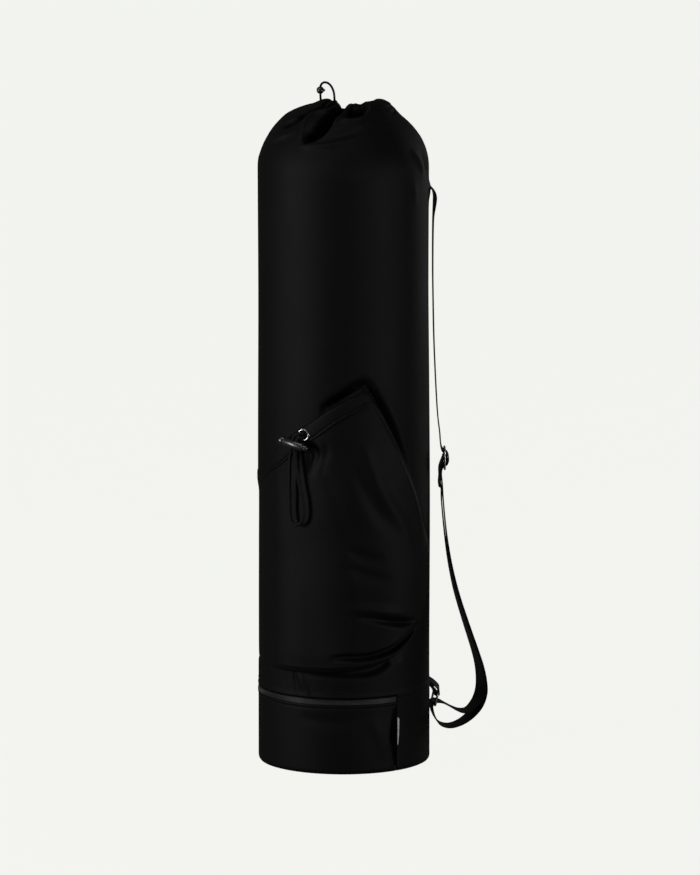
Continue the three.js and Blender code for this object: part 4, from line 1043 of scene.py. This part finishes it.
# Barrel cord lock
# A glossy black moulded barrel with a closed left end. Two holes let the cord's strands through, and a sprung
# button in its open right end lets go of them when it is pressed in.
LOCK_SLOT = (8.5, 4.4, 20)
LOCK_SLOT_SHIFT = 2.7
LOCK_SLOT_EDGE = 1.4
BARREL_SECTION = [
    (-14.5, 0), (-14.5, 3.9), (-14.2, 4.5), (-13.6, 4.8), (-9.2, 4.8), (-8.9, 4.62), (-8.5, 4.62),
    (-8.2, 4.8),
    (13.6, 4.8), (14.2, 4.6), (14.5, 4.2), (14.5, 3.75), (14.2, 3.6), (-13, 3.6), (-13, 0),
]
BUTTON_SECTION = [
    (-8.4, 0), (-8.4, 3.3), (17.6, 3.3), (18.8, 3.05), (19.6, 2.4), (20, 1.3), (20.05, 0),
]


def black_plastic(tree):
    """Glossy black moulded plastic with a faint flow texture and a few fine scuffs."""
    place = node(tree, "TexCoord").other("Object")
    flow = node(tree, "TexNoise", None, {"Vector": place, "Scale": 420, "Detail": 3})
    scuffs = node(tree, "TexNoise", None, {"Vector": place, "Scale": 170, "Detail": 5, "Roughness": 0.7})
    shade = node(tree, "ValToRGB", {"stops": [(0.2, 0.006), (0.9, 0.013)]}, {"Fac": flow})
    bump = node(tree, "Bump", None, {"Height": flow, "Strength": 0.06, "Distance": 0.0001})
    return node(tree, "BsdfPrincipled", None, {
        "Base Color": shade, "Roughness": 0.22 + scuffs * 0.16, "Normal": bump, "Specular IOR Level": 1,
        "Coat Weight": 0.35, "Coat Roughness": 0.08,
    })


plastic_finish = finish("black_plastic", black_plastic)


def cut_out(piece, tool):
    """Cuts a tool's shape out of a piece and removes the tool."""
    bpy.ops.object.select_all(action="DESELECT")
    bpy.context.view_layer.objects.active = piece
    piece.select_set(True)
    bpy.ops.object.modifier_add(type="BOOLEAN")
    piece.modifiers[-1].operation = "DIFFERENCE"
    piece.modifiers[-1].object = tool
    bpy.ops.object.modifier_apply(modifier=piece.modifiers[-1].name)
    bpy.data.objects.remove(tool)


def cut_slot(piece, shift, length):
    """Cuts the way of the two cord strands through a turned piece, with a rounded cutter."""
    bpy.ops.object.select_all(action="DESELECT")
    bpy.ops.mesh.primitive_cube_add(size=1)
    tool = bpy.context.object
    for vertex in tool.data.vertices:
        vertex.co = (
            (vertex.co.x * length + shift) * MM,
            vertex.co.y * LOCK_SLOT[1] * MM,
            vertex.co.z * LOCK_SLOT[2] * MM,
        )
    bpy.ops.object.mode_set(mode="EDIT")
    bpy.ops.mesh.select_all(action="SELECT")
    bpy.ops.mesh.bevel(offset=LOCK_SLOT_EDGE * MM, segments=5)
    bpy.ops.object.mode_set(mode="OBJECT")
    cut_out(piece, tool)


barrel = turned("lock_barrel", BARREL_SECTION, 64, closed=False)
cut_slot(barrel, LOCK_SLOT_SHIFT, LOCK_SLOT[0])
set_down(barrel, lock_frame)
barrel.data.materials.append(plastic_finish)
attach(barrel, "bag")
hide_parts("pocket_lock_barrel")

BUTTON_TRAVEL = 4
button = turned("lock_button", BUTTON_SECTION, 48, closed=False)
cut_slot(button, LOCK_SLOT_SHIFT + BUTTON_TRAVEL / 2, LOCK_SLOT[0] + BUTTON_TRAVEL)
set_down(button, lock_frame)
button.data.materials.append(plastic_finish)
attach(button, "lock_button")
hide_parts("pocket_lock_button")


# Top stopper
# A small moulded ball on the top drawcord, with the little nub that its mould leaves.
STOPPER_PLACE = Vector((-24.2, -6, 717.4)) * MM
STOPPER_SECTION = [(-4, 0)]
STOPPER_SECTION += [(-4 * math.cos(i * math.pi / 14), 4 * math.sin(i * math.pi / 14)) for i in range(1, 12)]
STOPPER_SECTION += [(3.75, 1.35), (4.1, 1.15), (4.8, 1.1), (5.1, 0.9), (5.2, 0.5), (5.2, 0)]
stopper = turned("stopper_ball", STOPPER_SECTION, 40, closed=False)
set_down(stopper, Matrix.Translation(STOPPER_PLACE))
stopper.data.materials.append(plastic_finish)
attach(stopper, "bag")
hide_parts("top_stopper")


# Zip
# A closed coil zip between the tube and the band's front panel: a twilled black tape set a little back, and
# the glossy nylon coil that is sewn along its middle.
TAPE_RADIUS = 88.9 * MM
TAPE_WALL = 1 * MM
TAPE_LOW = 74.9
TAPE_HIGH = 82.7
TAPE_SET_BACK = 3 * MM
COIL_LOW = 75.3
COIL_HIGH = 81
COIL_OUT = 90.95
COIL_LEAN = 0.75
LINK_PITCH = 1.3
LINK = (1.24, 2.0, COIL_HIGH - COIL_LOW)
LINK_EDGE = 0.3
LINK_BOW = 0.35


def twill_tape_and_painted_shade(tree):
    """Black polyester zip tape, toned darker than the cloth: partly its own black, partly painted shade for
    the gap under the tube's lower edge. Slanting twill threads with a satin shine.
    """
    spot = node(tree, "UVMap")
    place = node(tree, "TexCoord").other("Object")
    wave = {"Vector": spot, "Scale": 620, "Distortion": 0.4}
    threads = node(tree, "TexWave", {"bands_direction": "DIAGONAL"}, wave)
    uneven = node(tree, "TexNoise", None, {"Vector": place, "Scale": 70, "Detail": 3})
    mixed = threads * 0.5 + uneven * 0.5
    # These darker stops are partly the tape's own black and partly painted shade for the shadow that the
    # tube's lower edge casts on the tape above the coil.
    shade = node(tree, "ValToRGB", {"stops": [(0.2, 0.0018), (0.85, 0.0045)]}, {"Fac": mixed})
    bump = node(tree, "Bump", None, {"Height": threads, "Strength": 0.4, "Distance": 0.0001})
    return node(tree, "BsdfPrincipled", None, {
        "Base Color": shade, "Roughness": 0.42 + uneven * 0.14, "Normal": bump, "Specular IOR Level": 0.35,
    })


def tape_spot(across, up):
    height = TAPE_LOW + (TAPE_HIGH - TAPE_LOW) * up
    set_back = TAPE_SET_BACK * smooth(COIL_HIGH, TAPE_HIGH, height)
    return bag_place(TAPE_RADIUS - set_back, ZIP_START + (ZIP_END - ZIP_START) * across, height * MM)


zip_length = math.radians(ZIP_END - ZIP_START) * TAPE_RADIUS
tape = cloth_sheet("zip_tape_band", 260, 10, tape_spot, (zip_length, 7.8 * MM))
thicken(tape, TAPE_WALL)
tape.data.materials.append(finish("twill_tape_and_painted_shade", twill_tape_and_painted_shade))
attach(tape, "bag")
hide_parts("zip_tape")


def coil_nylon(tree):
    """Glossy black nylon monofilament, a little uneven where its turns were pressed."""
    place = node(tree, "TexCoord").other("Object")
    pressed = node(tree, "TexNoise", None, {"Vector": place, "Scale": 500, "Detail": 2})
    shade = node(tree, "ValToRGB", {"stops": [(0.2, 0.007), (0.9, 0.014)]}, {"Fac": pressed})
    bump = node(tree, "Bump", None, {"Height": pressed, "Strength": 0.1, "Distance": 0.0001})
    return node(tree, "BsdfPrincipled", None, {
        "Base Color": shade, "Roughness": 0.4 + pressed * 0.16, "Normal": bump, "Specular IOR Level": 0.6,
    })


bpy.ops.object.select_all(action="DESELECT")
bpy.ops.mesh.primitive_cube_add(size=1)
links = bpy.context.object
links.name = "zip_coil_links"
for vertex in links.data.vertices:
    vertex.co = (vertex.co.x * LINK[0], vertex.co.y * LINK[1], vertex.co.z * LINK[2])
bpy.ops.object.mode_set(mode="EDIT")
bpy.ops.mesh.select_all(action="SELECT")
bpy.ops.mesh.bevel(offset=LINK_EDGE, segments=1)
bpy.ops.object.mode_set(mode="OBJECT")
bpy.ops.object.modifier_add(type="ARRAY")
coil_length = math.radians(ZIP_END - ZIP_START) * (COIL_OUT - LINK[1] / 2)
links.modifiers[-1].count = int(coil_length / LINK_PITCH)
links.modifiers[-1].use_relative_offset = False
links.modifiers[-1].use_constant_offset = True
links.modifiers[-1].constant_offset_displace = (LINK_PITCH, 0, 0)
bpy.ops.object.modifier_apply(modifier=links.modifiers[-1].name)
for vertex in links.data.vertices:
    x, y, z = vertex.co
    turn = ZIP_START + math.degrees((x + LINK_PITCH / 2) / (COIL_OUT - LINK[1] / 2))
    share = z / LINK[2] + 0.5
    round_back = COIL_LEAN * share + LINK_BOW * (2 * share - 1) ** 2
    out = COIL_OUT - LINK[1] / 2 + y - round_back
    height = (COIL_LOW + COIL_HIGH) / 2 + z
    vertex.co = bag_place(out * MM, turn, height * MM)
links.data.materials.append(finish("coil_nylon", coil_nylon))
set_down(links, Matrix.Identity(4))
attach(links, "bag")
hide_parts("zip_coil")


# Zip slider
# A black lacquered slider parked at the zip's far end behind the bag: a tapered body, a small bridge, and a
# flat pull that hangs from it.
ZIP_SLIDER_PLACE = Vector((23.556, 89.761, 79)) * MM
ZIP_SLIDER_TURN = math.radians(165.295)
PULL_PLACE = Vector((0, -2.5, -9.2))
PULL_SIZE = (6, 1.3, 23)
PULL_SLOT = (2.6, 4, 4.4)
PULL_SLOT_UP = 7.6
slider_frame = Matrix.Translation(ZIP_SLIDER_PLACE) @ Matrix.Rotation(ZIP_SLIDER_TURN, 4, "Z")


def soft_block(name, size, place, edge, segments):
    """A moulded block in mm with soft edges all round."""
    bpy.ops.object.select_all(action="DESELECT")
    bpy.ops.mesh.primitive_cube_add(size=1)
    block = bpy.context.object
    block.name = name
    for vertex in block.data.vertices:
        vertex.co = (
            (vertex.co.x * size[0] + place[0]) * MM,
            (vertex.co.y * size[1] + place[1]) * MM,
            (vertex.co.z * size[2] + place[2]) * MM,
        )
    bpy.ops.object.mode_set(mode="EDIT")
    bpy.ops.mesh.select_all(action="SELECT")
    bpy.ops.mesh.bevel(offset=edge * MM, segments=segments)
    bpy.ops.object.mode_set(mode="OBJECT")
    return block


slider_body = soft_block("zip_slider_body", (11, 2.8, 7.8), (0, 0, 0), 0.9, 3)
for vertex in slider_body.data.vertices:
    vertex.co.z *= 1 - 0.3 * smooth(1 * MM, 5.5 * MM, vertex.co.x)
pull = soft_block("zip_pull", PULL_SIZE, PULL_PLACE, 0.45, 2)
for vertex in pull.data.vertices:
    down = (PULL_PLACE.z - vertex.co.z / MM) / PULL_SIZE[2]
    vertex.co.x *= 0.78 + 0.22 * smooth(-0.3, 0.2, down)
hole = soft_block("pull_slot", PULL_SLOT, PULL_PLACE + Vector((0, 0, PULL_SLOT_UP)), 0.6, 3)
cut_out(pull, hole)
bpy.ops.mesh.primitive_torus_add(
    major_radius=2.4 * MM, minor_radius=0.55 * MM, major_segments=36, minor_segments=12,
    location=(0, 0, 0), rotation=(0, 0, 0),
)
bridge = bpy.context.object
for vertex in bridge.data.vertices:
    vertex.co = (vertex.co.x, vertex.co.y * 1.1 - 1.3 * MM, vertex.co.z)
bpy.ops.object.select_all(action="DESELECT")
for piece in (pull, bridge, slider_body):
    piece.select_set(True)
bpy.context.view_layer.objects.active = slider_body
bpy.ops.object.join()
set_down(slider_body, slider_frame)
slider_body.data.materials.append(plastic_finish)
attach(slider_body, "bag")
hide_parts("zip_slider")


# Topstitching
# Rows of black polyester lockstitch: along the hem's two edges, round the pocket, over the zip and along the
# band. Each stitch is a short thread that dips into the cloth at both ends.
STITCH_LENGTH = 2.5
STITCH_STEP = 3.1
THREAD = 0.5


def polyester_thread(tree):
    """Black sewing thread with a faint twist shine."""
    place = node(tree, "TexCoord").other("Object")
    twist = node(tree, "TexNoise", None, {"Vector": place, "Scale": 3000, "Detail": 2})
    shade = node(tree, "ValToRGB", {"stops": [(0.2, 0.006), (0.9, 0.016)]}, {"Fac": twist})
    return node(tree, "BsdfPrincipled", None, {
        "Base Color": shade, "Roughness": 0.4 + twist * 0.15, "Specular IOR Level": 0.35,
    })


thread_finish = finish("polyester_thread", polyester_thread)
bpy.ops.object.select_all(action="DESELECT")
bpy.ops.mesh.primitive_uv_sphere_add(segments=6, ring_count=5, radius=0.5, rotation=(0, math.pi / 2, 0))
bpy.ops.object.transform_apply(rotation=True)
one_stitch = bpy.context.object
stitch_points = [
    Vector((co.x * STITCH_LENGTH, co.y * THREAD, co.z * THREAD)) * MM
    for co in (vertex.co for vertex in one_stitch.data.vertices)
]
stitch_faces = [tuple(polygon.vertices) for polygon in one_stitch.data.polygons]
bpy.data.objects.remove(one_stitch)


def stitch_row(name, spot):
    """A row of stitches along the line that spot gives for shares from 0 to 1."""
    places = even_places(spot, STITCH_STEP * MM, 900)
    vertices = []
    faces = []
    for before, after in zip(places, places[1:]):
        along = (after - before).normalized()
        middle = (before + after) / 2
        out = Vector((middle.x, middle.y, 0)).normalized()
        side = out.cross(along).normalized()
        out = along.cross(side)
        turn = Matrix((along, side, out)).transposed()
        first = len(vertices)
        vertices += [middle + out * 0.1 * MM + turn @ point for point in stitch_points]
        faces += [tuple(first + i for i in face) for face in stitch_faces]
    mesh = bpy.data.meshes.new(name)
    mesh.from_pydata(vertices, [], faces)
    mesh.shade_smooth()
    row = bpy.data.objects.new(name, mesh)
    bpy.context.scene.collection.objects.link(row)
    row.data.materials.append(thread_finish)
    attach(row, "bag")


for name, way in zip(("stitches_hem_low", "stitches_hem_top"), HEM_STITCH_WAYS):
    stitch_row(name, lambda share, way=way: hem_spot(0.02 + 0.96 * share, way))
EDGE_IN = 0.965
stitch_row("stitches_pocket_right", lambda share: pocket_place(EDGE_IN, 0.05 + 0.85 * share, CLOTH / MM))
stitch_row("stitches_pocket_left", lambda share: pocket_place(0.02, 0.02 + 0.9 * share, CLOTH / MM))
tube_stitch_row = next(i for i, way in enumerate(ways) if way > BAND_TOP + 4.5 * MM)
stitch_row("stitches_tube_foot", lambda share: body_spot(share, tube_stitch_row / body_rows))
stitch_row("stitches_band_front", lambda share: band_place(
    ZIP_START + (ZIP_END - ZIP_START) * (0.004 + 0.99 * share),
    ZIP_LOW - (PANEL_GAP + TOP_STITCH) * MM, FRONT_TOP,
))
stitch_row("stitches_band_back", lambda share: band_place(
    SEAM_TURN + (BACK_SEAM_TURN - SEAM_TURN) * (0.01 + 0.98 * share),
    BAND_TOP - (PANEL_GAP + TOP_STITCH) * MM, BACK_TOP,
))


# Side label
# A short folded white tape, caught by its two ends in the band's front seam. It is bare.
LABEL_PLACE = bag_place(BODY_RADIUS + 0.6 * MM, SEAM_TURN, 31 * MM)
LABEL_LEAN = math.radians(SEAM_TURN - 32)
LABEL_SLANT = 1.1 * MM
LABEL_HEIGHT = 28 * MM
LABEL_REACH = 9 * MM
LABEL_HALF = 0.4 * MM
TAPE = 0.3 * MM


def label_spot(across, up):
    straight = LABEL_REACH - LABEL_HALF
    bow = 0.4 * MM * math.sin(up * math.pi * 0.9 + 0.3) + LABEL_SLANT * (up - 0.6)
    if across < 0.45:
        x, y = -LABEL_HALF, -straight * across / 0.45
    elif across < 0.55:
        angle = math.pi + math.pi * (across - 0.45) / 0.1
        x, y = math.cos(angle) * LABEL_HALF, -straight + math.sin(angle) * LABEL_HALF
    else:
        x, y = LABEL_HALF, -straight * (1 - across) / 0.45
    x += bow * (y / straight) ** 2
    return LABEL_PLACE + Matrix.Rotation(LABEL_LEAN, 3, "Z") @ Vector((x, y, up * LABEL_HEIGHT))


def white_tape(tree):
    """White satin-woven tape: fine threads along it and a slightly uneven white."""
    spot = node(tree, "UVMap")
    place = node(tree, "TexCoord").other("Object")
    wave = {"Vector": spot, "Scale": 1100, "Distortion": 0.8}
    threads = node(tree, "TexWave", {"bands_direction": "Y"}, wave)
    uneven = node(tree, "TexNoise", None, {"Vector": place, "Scale": 160, "Detail": 3})
    mixed = threads * 0.4 + uneven * 0.6
    shade = node(tree, "ValToRGB", {"stops": [(0.1, 0.7), (0.9, 0.88)]}, {"Fac": mixed})
    bump = node(tree, "Bump", None, {"Height": threads, "Strength": 0.4, "Distance": 0.0001})
    return node(tree, "BsdfPrincipled", None, {
        "Base Color": shade, "Roughness": 0.55 + uneven * 0.15, "Normal": bump,
    })


label = cloth_sheet("label_tape", 48, 40, label_spot, (2 * LABEL_REACH, LABEL_HEIGHT))
thicken(label, TAPE)
label.data.materials.append(finish("white_tape", white_tape))
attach(label, "bag")
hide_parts("side_label")


# Flat base
# A round panel of the same nylon that the bag stands on, its edge caught in the band's turned foot.
BASE_SECTION = [(0, 0), (0, 60), (0, 82), (0.25, 84.6), (0.9, 85.5), (1.6, 85.5), (2, 85), (2, 60), (2, 0)]
base = turned("base_cloth", BASE_SECTION, 144, closed=False)
set_down(base, Matrix.Rotation(-math.pi / 2, 4, "Y"))
base.data.materials.append(nylon_finish)
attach(base, "bag")
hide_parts("base_panel")
